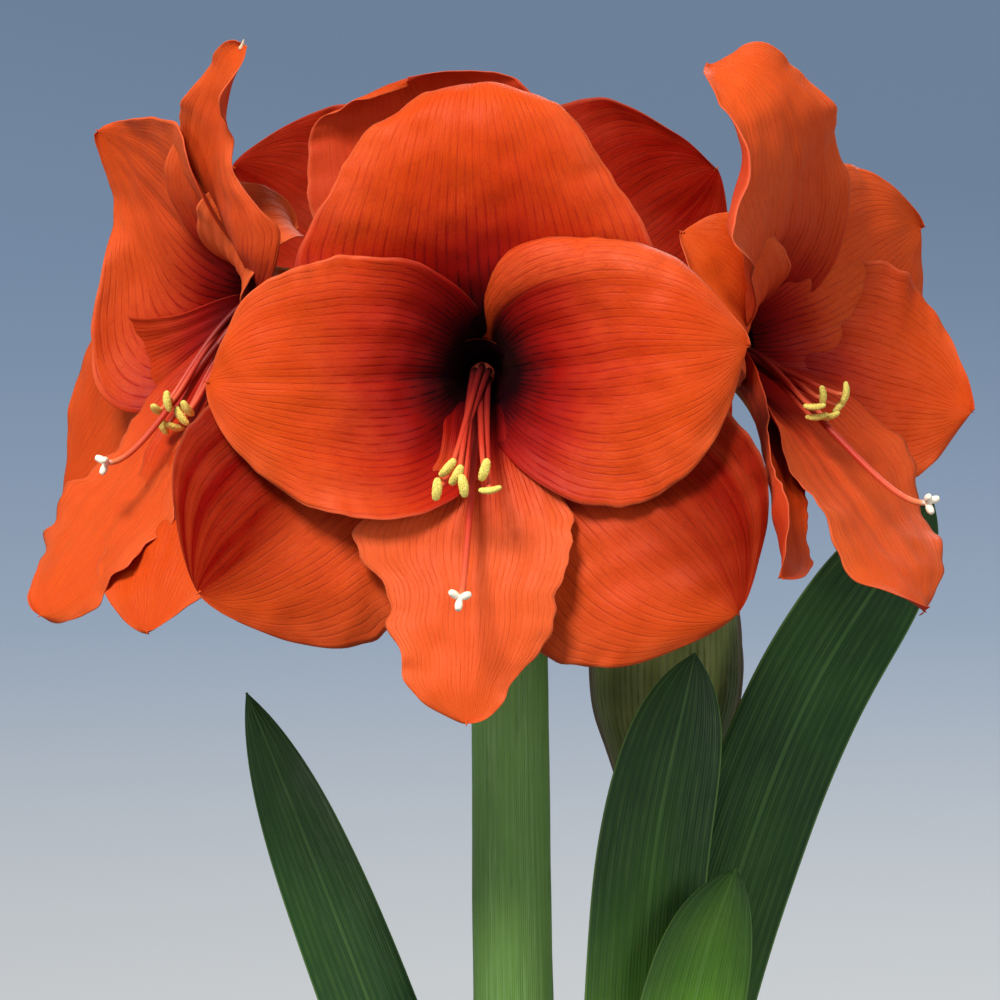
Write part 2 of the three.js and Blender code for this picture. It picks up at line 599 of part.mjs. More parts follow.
// Pot: a thrown terracotta pot with a thick rim band and drain holes in its floor.
const bandLow = POT.height - POT.bandHeight;
const innerAt = (z) => THREE.MathUtils.lerp(POT.footRadius - POT.wall, POT.topRadius - POT.wall, z / POT.height);
const potBody = turned([
  [0, 0], [POT.footRadius - 2, 0], [POT.footRadius, 2], [72, bandLow], [77.4, bandLow], [POT.topRadius, POT.height - 3],
  [POT.topRadius - 2, POT.height], [POT.topRadius - POT.wall + 1.5, POT.height], [innerAt(POT.height - 2), POT.height - 2],
  [innerAt(POT.floor), POT.floor], [0, POT.floor],
], POT.sides);
let pot = toSolid(potBody);
for (let k = 0; k < DRAIN.count; k += 1) {
  const a = (2 * Math.PI * k) / DRAIN.count + Math.PI / 2;
  const hole = new THREE.CylinderGeometry(DRAIN.radius, DRAIN.radius, POT.floor * 3, 14);
  hole.rotateX(Math.PI / 2);
  hole.translate(DRAIN.circle * Math.cos(a), DRAIN.circle * Math.sin(a), POT.floor / 2);
  pot = pot.subtract(toSolid(hole));
}
place('pot', toGeometry(pot), COLOURS.terracotta);

// Bulb: onion-shaped, with a flat basal plate below and a broad oval neck above.
const bulbProfile = [
  [0, 66], [14, 66], [30, 70], [42, 80], [49.5, 93], [52, 108], [50, 123], [44.5, 138], [38, 150], [33.5, 162], [31, 174], [30, 183], [28, 186], [0, 186],
];
function bulbGeometry(swell = 0) {
  const lowest = bulbProfile[0][1];
  const points = bulbProfile.map(([r, z]) => [r > 0 ? r + swell : 0, z === lowest ? z - swell : z]);
  if (swell) {
    points[points.length - 2][1] += 4;
    points[points.length - 1][1] += 4;
  }
  const geometry = turned(points, 22);
  const position = geometry.getAttribute('position');
  for (let k = 0; k < position.count; k += 1) {
    const s = THREE.MathUtils.smoothstep(position.getZ(k), 128, BULB.neckTop);
    const widen = THREE.MathUtils.lerp(1, BULB.neckX / 30, s);
    position.setX(k, position.getX(k) * widen + BULB.neckCentre[0] * s);
    position.setY(k, position.getY(k) + BULB.neckCentre[1] * s);
  }
  return geometry;
}
let bulb = toSolid(bulbGeometry());
for (const scape of [SCAPE, SECOND]) bulb = bulb.subtract(toSolid(scapeGeometry(scape, CLEARANCE)));
for (const leaf of LEAVES) bulb = bulb.subtract(toSolid(leafGeometry(leaf, 2 * CLEARANCE)));
place('bulb', toGeometry(bulb), COLOURS.bulb);

// Soil: fills the pot to a little below the rim and is hollowed by the bulb.
const soilFoot = POT.floor + CLEARANCE;
const soilBody = turned([
  [0, soilFoot], [innerAt(soilFoot) - CLEARANCE * 1.1, soilFoot], [innerAt(SOIL_TOP - 3) - CLEARANCE * 1.1, SOIL_TOP - 3],
  [66, SOIL_TOP - 1], [58, SOIL_TOP + 1.5], [0, SOIL_TOP + 3],
], POT.sides);
place('soil', toGeometry(toSolid(soilBody).subtract(toSolid(bulbGeometry(CLEARANCE)))), COLOURS.soil);

// Pedicels stand in sockets in the top of the main scape, and two papery bracts hang from its rim.
let scapeMain = toSolid(scapeGeometry(SCAPE));
BLOOMS.forEach((bloom, k) => {
  const curve = pedicelCurve(bloom, k);
  const start = curve.getPointAt(0);
  const low = start.clone().addScaledVector(curve.getTangentAt(0), -CLEARANCE);
  const high = curve.getPointAt(0.16);
  const socket = new THREE.CatmullRomCurve3([low, start, curve.getPointAt(0.08), high]);
  scapeMain = scapeMain.subtract(toSolid(rod(socket, 2, 7, () => 3.1 + CLEARANCE * 1.3)));
  place(`pedicel_${bloom.name}`, closed(pedicelGeometry(bloom, k)), COLOURS.stem);
});

function bractGeometry(sign, swell = 0) {
  const top = V(SCAPE.top);
  const curve = new THREE.CatmullRomCurve3([
    top.clone().add(new THREE.Vector3(sign * 8.6, 0, -10)),
    top.clone().add(new THREE.Vector3(sign * 13, -1, -4)),
    top.clone().add(new THREE.Vector3(sign * 21, -2, -14)),
    top.clone().add(new THREE.Vector3(sign * 25, -4, -36)),
    top.clone().add(new THREE.Vector3(sign * 22, -6, -58)),
  ]);
  const rows = 6;
  const grid = [];
  for (let i = 0; i <= rows; i += 1) {
    const u = i / rows;
    const centre = curve.getPointAt(u);
    const tangent = curve.getTangentAt(u);
    if (swell && i === 0) centre.addScaledVector(tangent, -swell / 2);
    const across = new THREE.Vector3(0, 1, 0).addScaledVector(tangent, -tangent.y).normalize();
    const outward = new THREE.Vector3().crossVectors(tangent, across);
    const half = Math.max(0.8, 4.5 + 6.5 * Math.sin(Math.PI * Math.min(1, u * 1.1)) - 3.7 * u) + swell / 2;
    const row = [];
    for (let j = 0; j <= 4; j += 1) {
      const v = (2 * j) / 4 - 1;
      row.push(centre.clone().addScaledVector(across, half * v).addScaledVector(outward, sign * 0.22 * half * v * v));
    }
    grid.push(row);
  }
  return sheet(grid, () => 0.8 + swell);
}
for (const [name, sign] of [['bract_left', -1], ['bract_right', 1]]) {
  scapeMain = scapeMain.subtract(toSolid(bractGeometry(sign, 2 * CLEARANCE)));
  place(name, closed(bractGeometry(sign)), COLOURS.bract);
}
place('scape_main', toGeometry(scapeMain), COLOURS.stem);
place('scape_second', closed(scapeGeometry(SECOND)), COLOURS.stem);

// Bud: the closed spathe on the second scape, flattened from front to back and drawn out to a tip.
const budCurve = new THREE.CatmullRomCurve3([
  new THREE.Vector3(SECOND.top[0], SECOND.top[1], BUD.bottom), new THREE.Vector3(25.5, 21, 425),
  new THREE.Vector3(27, 22, 455), new THREE.Vector3(33, 22, 490), new THREE.Vector3(41, 22, BUD.tip),
]);
const budHalf = [10.6, 15.6, 21.6, BUD.halfWidth, 22.4, 18.6, 13.2, 7.2, 1.6];
place('bud', closed(rod(budCurve, 10, 12, (u) => along(budHalf, u), (u) => THREE.MathUtils.lerp(1, BUD.flatness, clamp01(u * 3)))), COLOURS.spathe);

for (const leaf of LEAVES) place(`leaf_${leaf.name}`, closed(leafGeometry(leaf)), COLOURS.leaf);

for (const bloom of BLOOMS) {
  const stand = new THREE.Group();
  stand.position.fromArray(bloom.base);
  stand.quaternion.setFromRotationMatrix(bloomFrame(bloom).matrix);
  group.add(stand);
  place(`bloom_${bloom.name}`, bloomGeometry(bloom), COLOURS.petal, stand);
  place(`stamens_${bloom.name}`, stamenGeometry(bloom), COLOURS.stamen, stand);
}

export default group;
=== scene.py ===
"""A potted amaryllis in flower, dressed for a studio picture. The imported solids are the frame; each surface
is worked out again here, finer and with its finish, in the same place. Shapes are in millimetres."""
import math

import bmesh
import bpy
import numpy as np
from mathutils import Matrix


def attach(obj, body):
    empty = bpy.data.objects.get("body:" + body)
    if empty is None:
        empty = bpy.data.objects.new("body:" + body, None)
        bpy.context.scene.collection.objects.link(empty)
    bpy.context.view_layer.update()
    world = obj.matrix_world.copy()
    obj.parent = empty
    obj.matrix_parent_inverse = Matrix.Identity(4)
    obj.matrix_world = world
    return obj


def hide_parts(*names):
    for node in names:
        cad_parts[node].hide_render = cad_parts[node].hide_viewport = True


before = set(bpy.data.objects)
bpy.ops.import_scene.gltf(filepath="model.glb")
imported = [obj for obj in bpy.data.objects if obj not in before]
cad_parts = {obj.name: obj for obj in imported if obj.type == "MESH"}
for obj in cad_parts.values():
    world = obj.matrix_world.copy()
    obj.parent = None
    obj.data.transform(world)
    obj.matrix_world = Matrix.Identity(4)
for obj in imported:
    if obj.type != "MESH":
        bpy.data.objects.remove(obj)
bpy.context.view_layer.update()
scene = bpy.context.scene


# Viewpoint. The picture is taken level with the blooms, from 1.6 m away with a long lens, so the pot
# falls below its lower edge.
def show(name, data):
    """A new object with this data, in the scene."""
    made = bpy.data.objects.new(name, data)
    scene.collection.objects.link(made)
    return made


EYE = (-0.026, -1.600, 0.494)
PICTURE_WIDTH = 0.310
SENSOR = 36
lens = bpy.data.cameras.new("viewpoint")
lens.sensor_width = SENSOR
lens.lens = SENSOR * -EYE[1] / PICTURE_WIDTH
camera = show("viewpoint", lens)
camera.location = EYE
camera.rotation_euler = (math.radians(90), 0, 0)
scene.camera = camera
scene.view_settings.view_transform = "Standard"


# Studio. A seamless pale bowl: a flat floor that sweeps up into a soft blue-grey wall all round, lit by a
# large soft lamp above the viewer's left, weak ones from the right, low left and behind, and a pale sky.
def paint(red, green, blue):
    """A colour given as 0-255 screen values, made linear: ((c + 0.055) / 1.055) to the power 2.4."""
    screen = np.array([red, green, blue]) / 255
    linear = np.where(screen > 0.04045, ((screen + 0.055) / 1.055) ** 2.4, screen / 12.92)
    return (*linear.tolist(), 1.0)


def node(tree, kind, inputs=None, **settings):
    """A shader node in the tree. settings are its properties; inputs gives a socket a value or a wire."""
    new = tree.nodes.new("ShaderNode" + kind)
    for key, value in settings.items():
        setattr(new, key, value)
    for key, value in (inputs or {}).items():
        if isinstance(value, bpy.types.NodeSocket):
            tree.links.new(value, new.inputs[key])
        else:
            new.inputs[key].default_value = value
    return new


def calc(operation, *values, clamp=False):
    """One sum on values and wires, in the tree that the first wire among them belongs to."""
    return node(tree_of(values), "Math", dict(enumerate(values)), operation=operation,
                use_clamp=clamp).outputs[0]


def tree_of(values):
    """The node tree of the first wire among the values."""
    return next(value.id_data for value in values if isinstance(value, bpy.types.NodeSocket))


def times(*values, clamp=False):
    """The product of two values or more."""
    *others, last = values
    return calc("MULTIPLY", others[0] if len(others) == 1 else times(*others), last, clamp=clamp)


def plus(first, second, clamp=False):
    """The sum of two values."""
    return calc("ADD", first, second, clamp=clamp)


def less(first, second):
    """The first value less the second."""
    return calc("SUBTRACT", first, second)


def ease(value, low, high):
    """0 at low and 1 at high, with a smooth step between. low may be the larger one."""
    wires = {"Value": value, "From Min": low, "From Max": high}
    return node(value.id_data, "MapRange", wires, interpolation_type="SMOOTHSTEP").outputs["Result"]


def mix(share, first, second):
    """Two colours mixed, share 1 being the second alone. A colour is a wire or three screen values."""
    shades = [paint(*shade) if isinstance(shade, tuple) else shade for shade in (first, second)]
    return node(tree_of((share, *shades)), "Mix", dict(zip((0, 6, 7), (share, *shades))),
                data_type="RGBA").outputs[2]


def ramp(value, stops):
    """A colour read off a row of stops, each a place and three screen values."""
    new = node(value.id_data, "ValToRGB", {"Fac": value})
    marks = new.color_ramp.elements
    for mark, (place, shade) in zip(marks, (stops[0], stops[-1])):
        mark.position = place
        mark.color = paint(*shade)
    for place, shade in stops[1:-1]:
        marks.new(place).color = paint(*shade)
    return new.outputs["Color"]


def noise(where, scale, detail=3.0, rough=0.5):
    """Cloudy values about 0.5 at each place."""
    wires = {"Vector": where, "Scale": scale, "Detail": detail, "Roughness": rough}
    return node(where.id_data, "TexNoise", wires).outputs[0]


def place_at(*axes):
    """A place made of up to three values."""
    return node(tree_of(axes), "CombineXYZ", dict(enumerate(axes))).outputs[0]


def height_of(where):
    """The Z of a place."""
    return node(where.id_data, "SeparateXYZ", {0: where}).outputs["Z"]


def wash(colour, *coats):
    """Colours laid over the first one in turn. A coat is (where it shows, how much of it, its colour)."""
    for where, share, shade in coats:
        colour = mix(where if share == 1 else times(where, share), colour, shade)
    return colour


def new_finish(name, **sockets):
    """A material, its node tree and its shader. sockets are constants on the shader itself."""
    material = bpy.data.materials.new(name)
    material.use_nodes = True
    shader = material.node_tree.nodes["Principled BSDF"]
    for key, value in sockets.items():
        shader.inputs[key.replace("_", " ")].default_value = value
    return material, material.node_tree, shader


def place_of(tree):
    """The point on the object itself, in metres."""
    return node(tree, "TexCoord").outputs["Object"]


def mark_of(tree, name):
    """A value kept at the points of the mesh."""
    return node(tree, "Attribute", attribute_name=name).outputs["Fac"]


def coat(shader, colour, roughness=None):
    """Wires a colour into the shader, and a roughness where it varies."""
    colour.id_data.links.new(colour, shader.inputs["Base Color"])
    if roughness is not None:
        colour.id_data.links.new(roughness, shader.inputs["Roughness"])


BOWL_FLAT = 1300
BOWL_SWEEP = 2900
BOWL_WALL = 4600


def bowl_points():
    """A floor disc, a quarter circle of radius BOWL_SWEEP and a wall, turned about Z."""
    sweep = np.linspace(0, np.pi / 2, 30)
    reach = np.concatenate([[0, 400, 900], BOWL_FLAT + BOWL_SWEEP * np.sin(sweep),
                            [BOWL_FLAT + BOWL_SWEEP]])
    rise = np.concatenate([[0, 0, 0], BOWL_SWEEP * (1 - np.cos(sweep)), [BOWL_WALL]])
    turn = np.linspace(0, 2 * np.pi, 97)
    east, north, up = np.broadcast_arrays(np.outer(reach, np.cos(turn)), np.outer(reach, np.sin(turn)),
                                          rise[:, None])
    return np.stack([east, north, up], -1)


bowl = bowl_points()
rows, columns = bowl.shape[:2]
corner = (np.arange(rows - 1)[:, None] * columns + np.arange(columns - 1)).ravel()
bowl_mesh = bpy.data.meshes.new("studio_bowl")
bowl_faces = np.stack([corner, corner + columns, corner + columns + 1, corner + 1], -1)
bowl_mesh.from_pydata((bowl.reshape(-1, 3) / 1000).tolist(), [], bowl_faces.tolist())
bowl_mesh.shade_smooth()
studio_bowl = show("studio_bowl", bowl_mesh)
bowl_paint, tree, shader = new_finish("studio_paint", Roughness=0.9, Specular_IOR_Level=0.1)
height = height_of(place_of(tree))
tone = ramp(ease(height, 0.02, 0.75), [(0, (226, 226, 224)), (0.5, (176, 192, 212)), (1, (150, 174, 204))])
coat(shader, tone)
bowl_mesh.materials.append(bowl_paint)
studio_bowl.visible_diffuse = False
studio_bowl.visible_glossy = False
studio_bowl.visible_transmission = False
studio_bowl.visible_shadow = False

LIT_POINT = (-0.02, 0, 0.5)
LAMPS = [
    ("lamp_above_left", (-0.85, -1.75, 2.15), 0.7, 80, (1.0, 0.98, 0.94)),
    ("lamp_right", (1.7, -1.7, 1.0), 1.0, 20, (1.0, 0.97, 0.94)),
    ("lamp_low_left", (-2.1, -1.3, 0.45), 0.8, 12, (1.0, 0.98, 0.95)),
    ("lamp_behind", (0.7, 1.9, 2.2), 1.2, 22, (0.95, 0.98, 1.0)),
]
for name, stand, width, watts, tint in LAMPS:
    glow = bpy.data.lights.new(name, "AREA")
    glow.size = width
    glow.energy = watts
    glow.color = tint
    lamp = show(name, glow)
    lamp.location = stand
    aim = np.array(LIT_POINT) - np.array(stand)
    lamp.rotation_euler = (math.atan2(math.hypot(aim[0], aim[1]), -aim[2]), 0, math.atan2(-aim[0], aim[1]))
sky = bpy.data.worlds.new("pale_sky")
sky.use_nodes = True
sky.node_tree.nodes["Background"].inputs["Color"].default_value = paint(226, 234, 245)
sky.node_tree.nodes["Background"].inputs["Strength"].default_value = 0.30
scene.world = sky

# Pot. One turned piece of unglazed terracotta, 140 mm high and 160 mm across, with a thick band at the rim,
# faint turning rings, three drain holes and a chalky bloom where water has dried.
POT_HEIGHT = 140
POT_TOP = 80
POT_FOOT = 55
POT_WALL = 7
POT_FLOOR = 8
BAND_LOW = 112
DRAIN_RADIUS = 6
DRAIN_CIRCLE = 26


def crinkle(a, b, longest, shortest, seed, count=24):
    """Smooth seeded relief, about -1 to 1: a mean of plane waves over a and b in every direction, their
    lengths spread from longest to shortest and the long ones stronger."""
    pick = np.random.default_rng(seed)
    heading = pick.uniform(0, 2 * np.pi, count)
    phase = pick.uniform(0, 2 * np.pi, count)
    length = np.geomspace(longest, shortest, count)
    weight = np.sqrt(length)
    run = np.asarray(a)[..., None] * np.cos(heading) + np.asarray(b)[..., None] * np.sin(heading)
    return (np.sin(2 * np.pi * run / length + phase) * weight).sum(-1) / np.sqrt((weight ** 2).sum())


def piece(name, shells, finish, slot, *nodes):
    """A mesh object from closed shells, set on the frame. A shell is (points, uv, marks): points in rows,
    each row a loop that closes on itself and the end rows shut; uv has one column more than points, for
    the seam; marks are named values at the points. A shell that encloses a negative volume is reversed,
    and coincident points are joined, so ends and seams are closed and faces look outwards."""
    vertices, faces, corners, marked, start = [], [], [], {}, 0
    for points, uv, marks in shells:
        rows, columns = points.shape[:2]
        i = np.arange(rows - 1)[:, None]
        j = np.arange(columns)[None]
        k = (j + 1) % columns
        quads = np.stack([i * columns + j, i * columns + k, (i + 1) * columns + k, (i + 1) * columns + j],
                         -1).reshape(-1, 4)
        uvs = np.stack([uv[:-1, :-1], uv[:-1, 1:], uv[1:, 1:], uv[1:, :-1]], 2).reshape(-1, 4, 2)
        flat = points.reshape(-1, 3)
        about = flat - flat.mean(0)
        a, b, c, d = (about[quads[:, n]] for n in range(4))
        volume = (np.cross(a, b) * c).sum() + (np.cross(a, c) * d).sum()
        if volume < 0:
            quads = quads[:, ::-1]
            uvs = uvs[:, ::-1]
        vertices.append(flat)
        faces.append(quads + start)
        corners.append(uvs)
        for mark, values in marks.items():
            marked.setdefault(mark, []).append((start, np.broadcast_to(values, (rows, columns)).ravel()))
        start += len(flat)
    mesh = bpy.data.meshes.new(name)
    mesh.from_pydata((np.concatenate(vertices) / 1000).tolist(), [], np.concatenate(faces).tolist())
    mesh.uv_layers.new(name="lay").data.foreach_set("uv", np.concatenate(corners).astype("f").ravel())
    for mark, pieces in marked.items():
        values = np.zeros(start, "f")
        for first, run in pieces:
            values[first:first + len(run)] = run
        mesh.attributes.new(mark, "FLOAT", "POINT").data.foreach_set("value", values)
    welded = bmesh.new()
    welded.from_mesh(mesh)
    bmesh.ops.remove_doubles(welded, verts=welded.verts, dist=1e-6)
    bmesh.ops.dissolve_degenerate(welded, edges=welded.edges, dist=1e-7)
    welded.to_mesh(mesh)
    welded.free()
    mesh.shade_smooth()
    mesh.materials.append(finish)
    made = show(name, mesh)
    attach(made, "root")
    if nodes:
        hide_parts(*nodes)
    return made


def rounded(profile, radius, steps=5):
    """A profile with its corners rounded: each corner becomes a parabola that starts and ends radius away
    from it, and long straight runs get a point every 3 mm."""
    spots = np.array(profile, float)
    before = np.roll(spots, 1, 0) - spots
    after = np.roll(spots, -1, 0) - spots
    before[0] = after[-1] = 0
    for run in (before, after):
        size = np.linalg.norm(run, axis=1, keepdims=True)
        run *= np.minimum(radius, 0.45 * size) / np.maximum(size, 1e-9)
    before[-1] *= 0
    after[0] *= 0
    t = np.linspace(0, 1, steps)[None, :, None]
    leave, turn, enter = (spots + before)[:, None], spots[:, None], (spots + after)[:, None]
    bends = (1 - t) ** 2 * leave + 2 * t * (1 - t) * turn + t ** 2 * enter
    line = bends.reshape(-1, 2)
    run = np.concatenate([[0], np.cumsum(np.linalg.norm(np.diff(line, axis=0), axis=1))])
    keep = np.concatenate([[True], np.diff(run) > 1e-6])
    line, run = line[keep], run[keep]
    stops = np.union1d(run, np.arange(0, run[-1], 3.0))
    return np.stack([np.interp(stops, run, line[:, 0]), np.interp(stops, run, line[:, 1])], -1)


def circle(count):
    """Even angles once round."""
    return 2 * np.pi * np.arange(count) / count


def turned(profile, sides):
    """(radius, height, angle) grids of a profile turned about Z, a row for each point of it."""
    angle = circle(sides)
    radius, height, angle = np.broadcast_arrays(profile[:, :1], profile[:, 1:], angle)
    return radius, height, angle


def grid(rows, columns):
    """Every pair of a row value and a column value, as uv."""
    return np.stack(np.meshgrid(rows, columns, indexing="ij"), -1)


def turned_shell(radius, height, angle, marks=None):
    """The closed shell of those grids. u runs along the profile and v once round."""
    points = np.stack([radius * np.cos(angle), radius * np.sin(angle), height], -1)
    rows, sides = radius.shape
    uv = grid(np.linspace(0, 1, rows), np.linspace(0, 1, sides + 1))
    return points, uv, marks or {}


def effect(name, takes, gives):
    """A node group with named sockets, and its two end nodes. takes lists (name, kind, value)."""
    group = bpy.data.node_groups.new(name, "ShaderNodeTree")
    for label, kind, value in takes:
        socket = group.interface.new_socket(label, in_out="INPUT", socket_type="NodeSocket" + kind)
        if value is not None:
            socket.default_value = value
    for label in gives:
        group.interface.new_socket(label, in_out="OUTPUT", socket_type="NodeSocketFloat")
    return group, group.nodes.new("NodeGroupInput").outputs, group.nodes.new("NodeGroupOutput").inputs


# Patches: cloudy areas of a given size, from none to full, used for stains, damp and uneven colour.
patches, given, out = effect("patches", [("Where", "Vector", None), ("Scale", "Float", 20.0),
                                         ("Spread", "Float", 0.3)], ["Mask"])
cloud = noise(given["Where"], given["Scale"], 3.0, 0.55)
centred = calc("DIVIDE", less(cloud, 0.5), given["Spread"])
patches.links.new(plus(centred, 0.5, clamp=True), out["Mask"])

# Grain: fine grit with scattered pits, used for clay, soil, pollen and rough skin.
grain, given, out = effect("grain", [("Where", "Vector", None), ("Scale", "Float", 600.0)],
                           ["Height", "Pits"])
grit = noise(given["Where"], given["Scale"], 4.0, 0.7)
cells = node(grain, "TexVoronoi", {"Vector": given["Where"], "Scale": given["Scale"]}).outputs["Distance"]
grain.links.new(plus(times(grit, 0.7), times(cells, 0.4)), out["Height"])
grain.links.new(times(ease(cells, 0.25, 0.05), ease(grit, 0.5, 0.62)), out["Pits"])


def mask(where, scale, spread=0.3):
    """Patches on a material."""
    return node(where.id_data, "Group", {"Where": where, "Scale": scale, "Spread": spread},
                node_tree=patches).outputs["Mask"]


def grit_of(where, scale):
    """The two outputs of grain on a material."""
    return node(where.id_data, "Group", {"Where": where, "Scale": scale}, node_tree=grain).outputs


def relief(shader, height, strength, depth):
    """Gives the shader a bumped normal: depth is the relief's real depth in metres."""
    bump = node(height.id_data, "Bump", {"Height": height, "Strength": strength, "Distance": depth})
    height.id_data.links.new(bump.outputs["Normal"], shader.inputs["Normal"])


terracotta, tree, shader = new_finish("terracotta", Specular_IOR_Level=0.25)
where = place_of(tree)
rise = height_of(where)
clay = mix(mask(where, 14, 0.35), (172, 88, 56), (196, 114, 76))
clay = mix(times(mask(where, 70, 0.5), 0.5), clay, (150, 72, 46))
rings = node(tree, "Mapping", {"Vector": where, "Scale": (6, 6, 420)}).outputs[0]
turning = noise(rings, 1.0, 3.0)
clay = mix(times(ease(turning, 0.45, 0.7), 0.35), clay, (208, 132, 94))
low_bloom = times(ease(rise, 0.05, 0.004), mask(where, 45, 0.22))
band_bloom = times(times(ease(rise, 0.078, 0.108), ease(rise, 0.134, 0.112)), mask(where, 30, 0.16))
chalk = times(calc("MAXIMUM", low_bloom, band_bloom), 0.62)
clay = mix(chalk, clay, (222, 204, 188))
moss = times(times(ease(rise, 0.036, 0.0), mask(where, 22, 0.15)), 0.4)
clay = mix(moss, clay, (96, 92, 52))
grit, pits = grit_of(where, 900)
clay = mix(times(pits, 0.7), clay, (98, 46, 30))
coat(shader, clay, plus(0.72, times(chalk, 0.25)))
hollow = less(plus(times(grit, 0.4), times(turning, 0.8)), pits)
relief(shader, hollow, 0.7, 0.0006)

inner_foot = POT_FOOT - POT_WALL
inner_top = POT_TOP - POT_WALL
pot_line = rounded([
    (0, 1.2), (POT_FOOT - 12, 1.2), (POT_FOOT - 10, 0), (POT_FOOT - 1.5, 0), (POT_FOOT, 2.5),
                    (72, BAND_LOW), (77.4, BAND_LOW - 0.5),
    (POT_TOP, POT_HEIGHT - 3), (POT_TOP - 2, POT_HEIGHT), (inner_top + 2, POT_HEIGHT),
                    (inner_top - 0.5, POT_HEIGHT - 3),
    (inner_foot + 1.5, POT_FLOOR), (0, POT_FLOOR)], 1.6)
radius, height, angle = turned(pot_line, 120)
wall = np.clip((radius - 50) / 6, 0, 1)
turning_marks = 0.14 * np.sin(2 * np.pi * height / 4.6 + 1.5 * np.sin(angle))
out_of_round = 0.2 * np.sin(2 * angle + 0.4)
radius = radius + wall * (turning_marks + out_of_round + 0.1 * crinkle(height, 60 * angle, 40, 12, 3))
pot = piece("pot_turned", [turned_shell(radius, height, angle)], terracotta, "terracotta", "pot")
drill_mesh = bpy.data.meshes.new("drain_drill")
drill_form = bmesh.new()
for k in range(3):
    turn = 2 * np.pi * k / 3 + np.pi / 2
    drilled = bmesh.ops.create_cone(drill_form, cap_ends=True, segments=28, depth=0.03,
                                    radius1=DRAIN_RADIUS / 1000, radius2=DRAIN_RADIUS / 1000)
    centre = (DRAIN_CIRCLE * math.cos(turn) / 1000, DRAIN_CIRCLE * math.sin(turn) / 1000, 0.004)
    bmesh.ops.translate(drill_form, verts=drilled["verts"], vec=centre)
drill_form.to_mesh(drill_mesh)
drill_form.free()
drill = show("drain_drill", drill_mesh)
cut = pot.modifiers.new("drain", "BOOLEAN")
cut.object = drill
cut.operation = "DIFFERENCE"
bpy.context.view_layer.update()
drained = bpy.data.meshes.new_from_object(pot.evaluated_get(bpy.context.evaluated_depsgraph_get()))
pot.modifiers.clear()
pot.data = drained
bpy.data.objects.remove(drill)

# Soil. Damp peat with bark and perlite fills the pot to 20 mm below the rim and is hollowed by the bulb;
# loose crumbs lie on it and stick to its surface.
SOIL_TOP = 118
SOIL_EDGE = SOIL_TOP - 3
BULB_LINE = np.array([
    (0, 66), (14, 66), (30, 70), (42, 80), (49.5, 93), (52, 108), (50, 123), (44.5, 138), (38, 150),
                      (33.5, 162),
    (31, 174), (30, 183), (28, 186), (0, 186)], float)


def soil_height(x, y):
    """A low dome that falls from 121 mm at the bulb to 115 at the pot, with clods of 4 to 20 mm on it."""
    away = np.hypot(x, y)
    dome = np.interp(away, [0, 50, 58, 66, 70], [SOIL_TOP + 3, SOIL_TOP + 2.2, SOIL_TOP + 1.2,
                                                 SOIL_TOP - 1, SOIL_EDGE])
    clods = 0.9 * crinkle(x, y, 22, 4, 11, 40) + 0.3 * np.abs(crinkle(x, y, 5, 1.6, 12, 30))
    return dome + clods


def soil_inner(z):
    """The pot's inner radius at height z, less a hair."""
    return inner_foot + (inner_top - inner_foot) * z / POT_HEIGHT - 0.35


def swung(first, second, angle):
    """Two coordinates turned by an angle, the first towards the second."""
    return first * np.cos(angle) - second * np.sin(angle), first * np.sin(angle) + second * np.cos(angle)


side_z = np.array([8.3, 30, 60, 90, SOIL_EDGE])
top_r = np.linspace(soil_inner(SOIL_EDGE), 50.6, 42)
hollow_line = BULB_LINE[:7][::-1]
soil_line = np.concatenate([
    [[0, 8.3], [25, 8.3]], np.stack([soil_inner(side_z), side_z], -1),
                            np.stack([top_r[1:], np.full(41, SOIL_TOP)], -1),
    hollow_line[hollow_line[:, 1] < 110] * [1, 1] + [0.3, -0.3], [[0, 65.7]]])
soil_line[-2:, 0] = [14.3, 0]
radius, height, angle = turned(soil_line, 300)
on_top = (np.arange(len(soil_line)) >= 6) & (np.arange(len(soil_line)) < 7 + 41)
x = radius * np.cos(angle)
y = radius * np.sin(angle)
height = np.where(on_top[:, None], soil_height(x, y), height)

soil_finish, tree, shader = new_finish("damp_soil", Specular_IOR_Level=0.3)
where = place_of(tree)
grit, pits = grit_of(where, 700)
peat = mix(mask(where, 160, 0.3), (38, 26, 19), (74, 54, 38))
peat = wash(peat,
            (ease(noise(where, 420, 3.0, 0.7), 0.56, 0.7), 1, (104, 78, 54)),
            (pits, 1, (20, 13, 9)))
coat(shader, peat, plus(0.6, times(mask(where, 30, 0.4), 0.35)))
relief(shader, grit, 1.0, 0.0012)
piece("soil_bed", [turned_shell(radius, height, angle)], soil_finish, "soil", "soil")

CRUMBS = 1500
CRUMB_NEAR = 52.5
CRUMB_FAR = 68.0
pick = np.random.default_rng(21)
ico = bmesh.new()
bmesh.ops.create_icosphere(ico, subdivisions=1, radius=1)
lump = np.array([vertex.co[:] for vertex in ico.verts])
lump_faces = np.array([[vertex.index for vertex in face.verts] for face in ico.faces])
ico.free()
kind = pick.choice([0.0, 0.5, 1.0], CRUMBS, p=[0.74, 0.17, 0.09])
away = CRUMB_NEAR + (CRUMB_FAR - CRUMB_NEAR) * np.sqrt(pick.uniform(0, 1, CRUMBS))
turn = pick.uniform(0, 2 * np.pi, CRUMBS)
x = away * np.cos(turn)
y = away * np.sin(turn)
peat_size, bark_size, stone_size = (pick.uniform(low, high, CRUMBS) for low,
                                    high in ((0.5, 1.7), (0.9, 2.3), (0.7, 1.6)))
size = np.where(kind == 0, peat_size, np.where(kind == 0.5, bark_size, stone_size))
stretch = np.stack([np.where(kind == 0.5, 1.5, 1.0), np.ones(CRUMBS), np.where(kind == 0.5, 0.45, 0.85)],
                   -1)
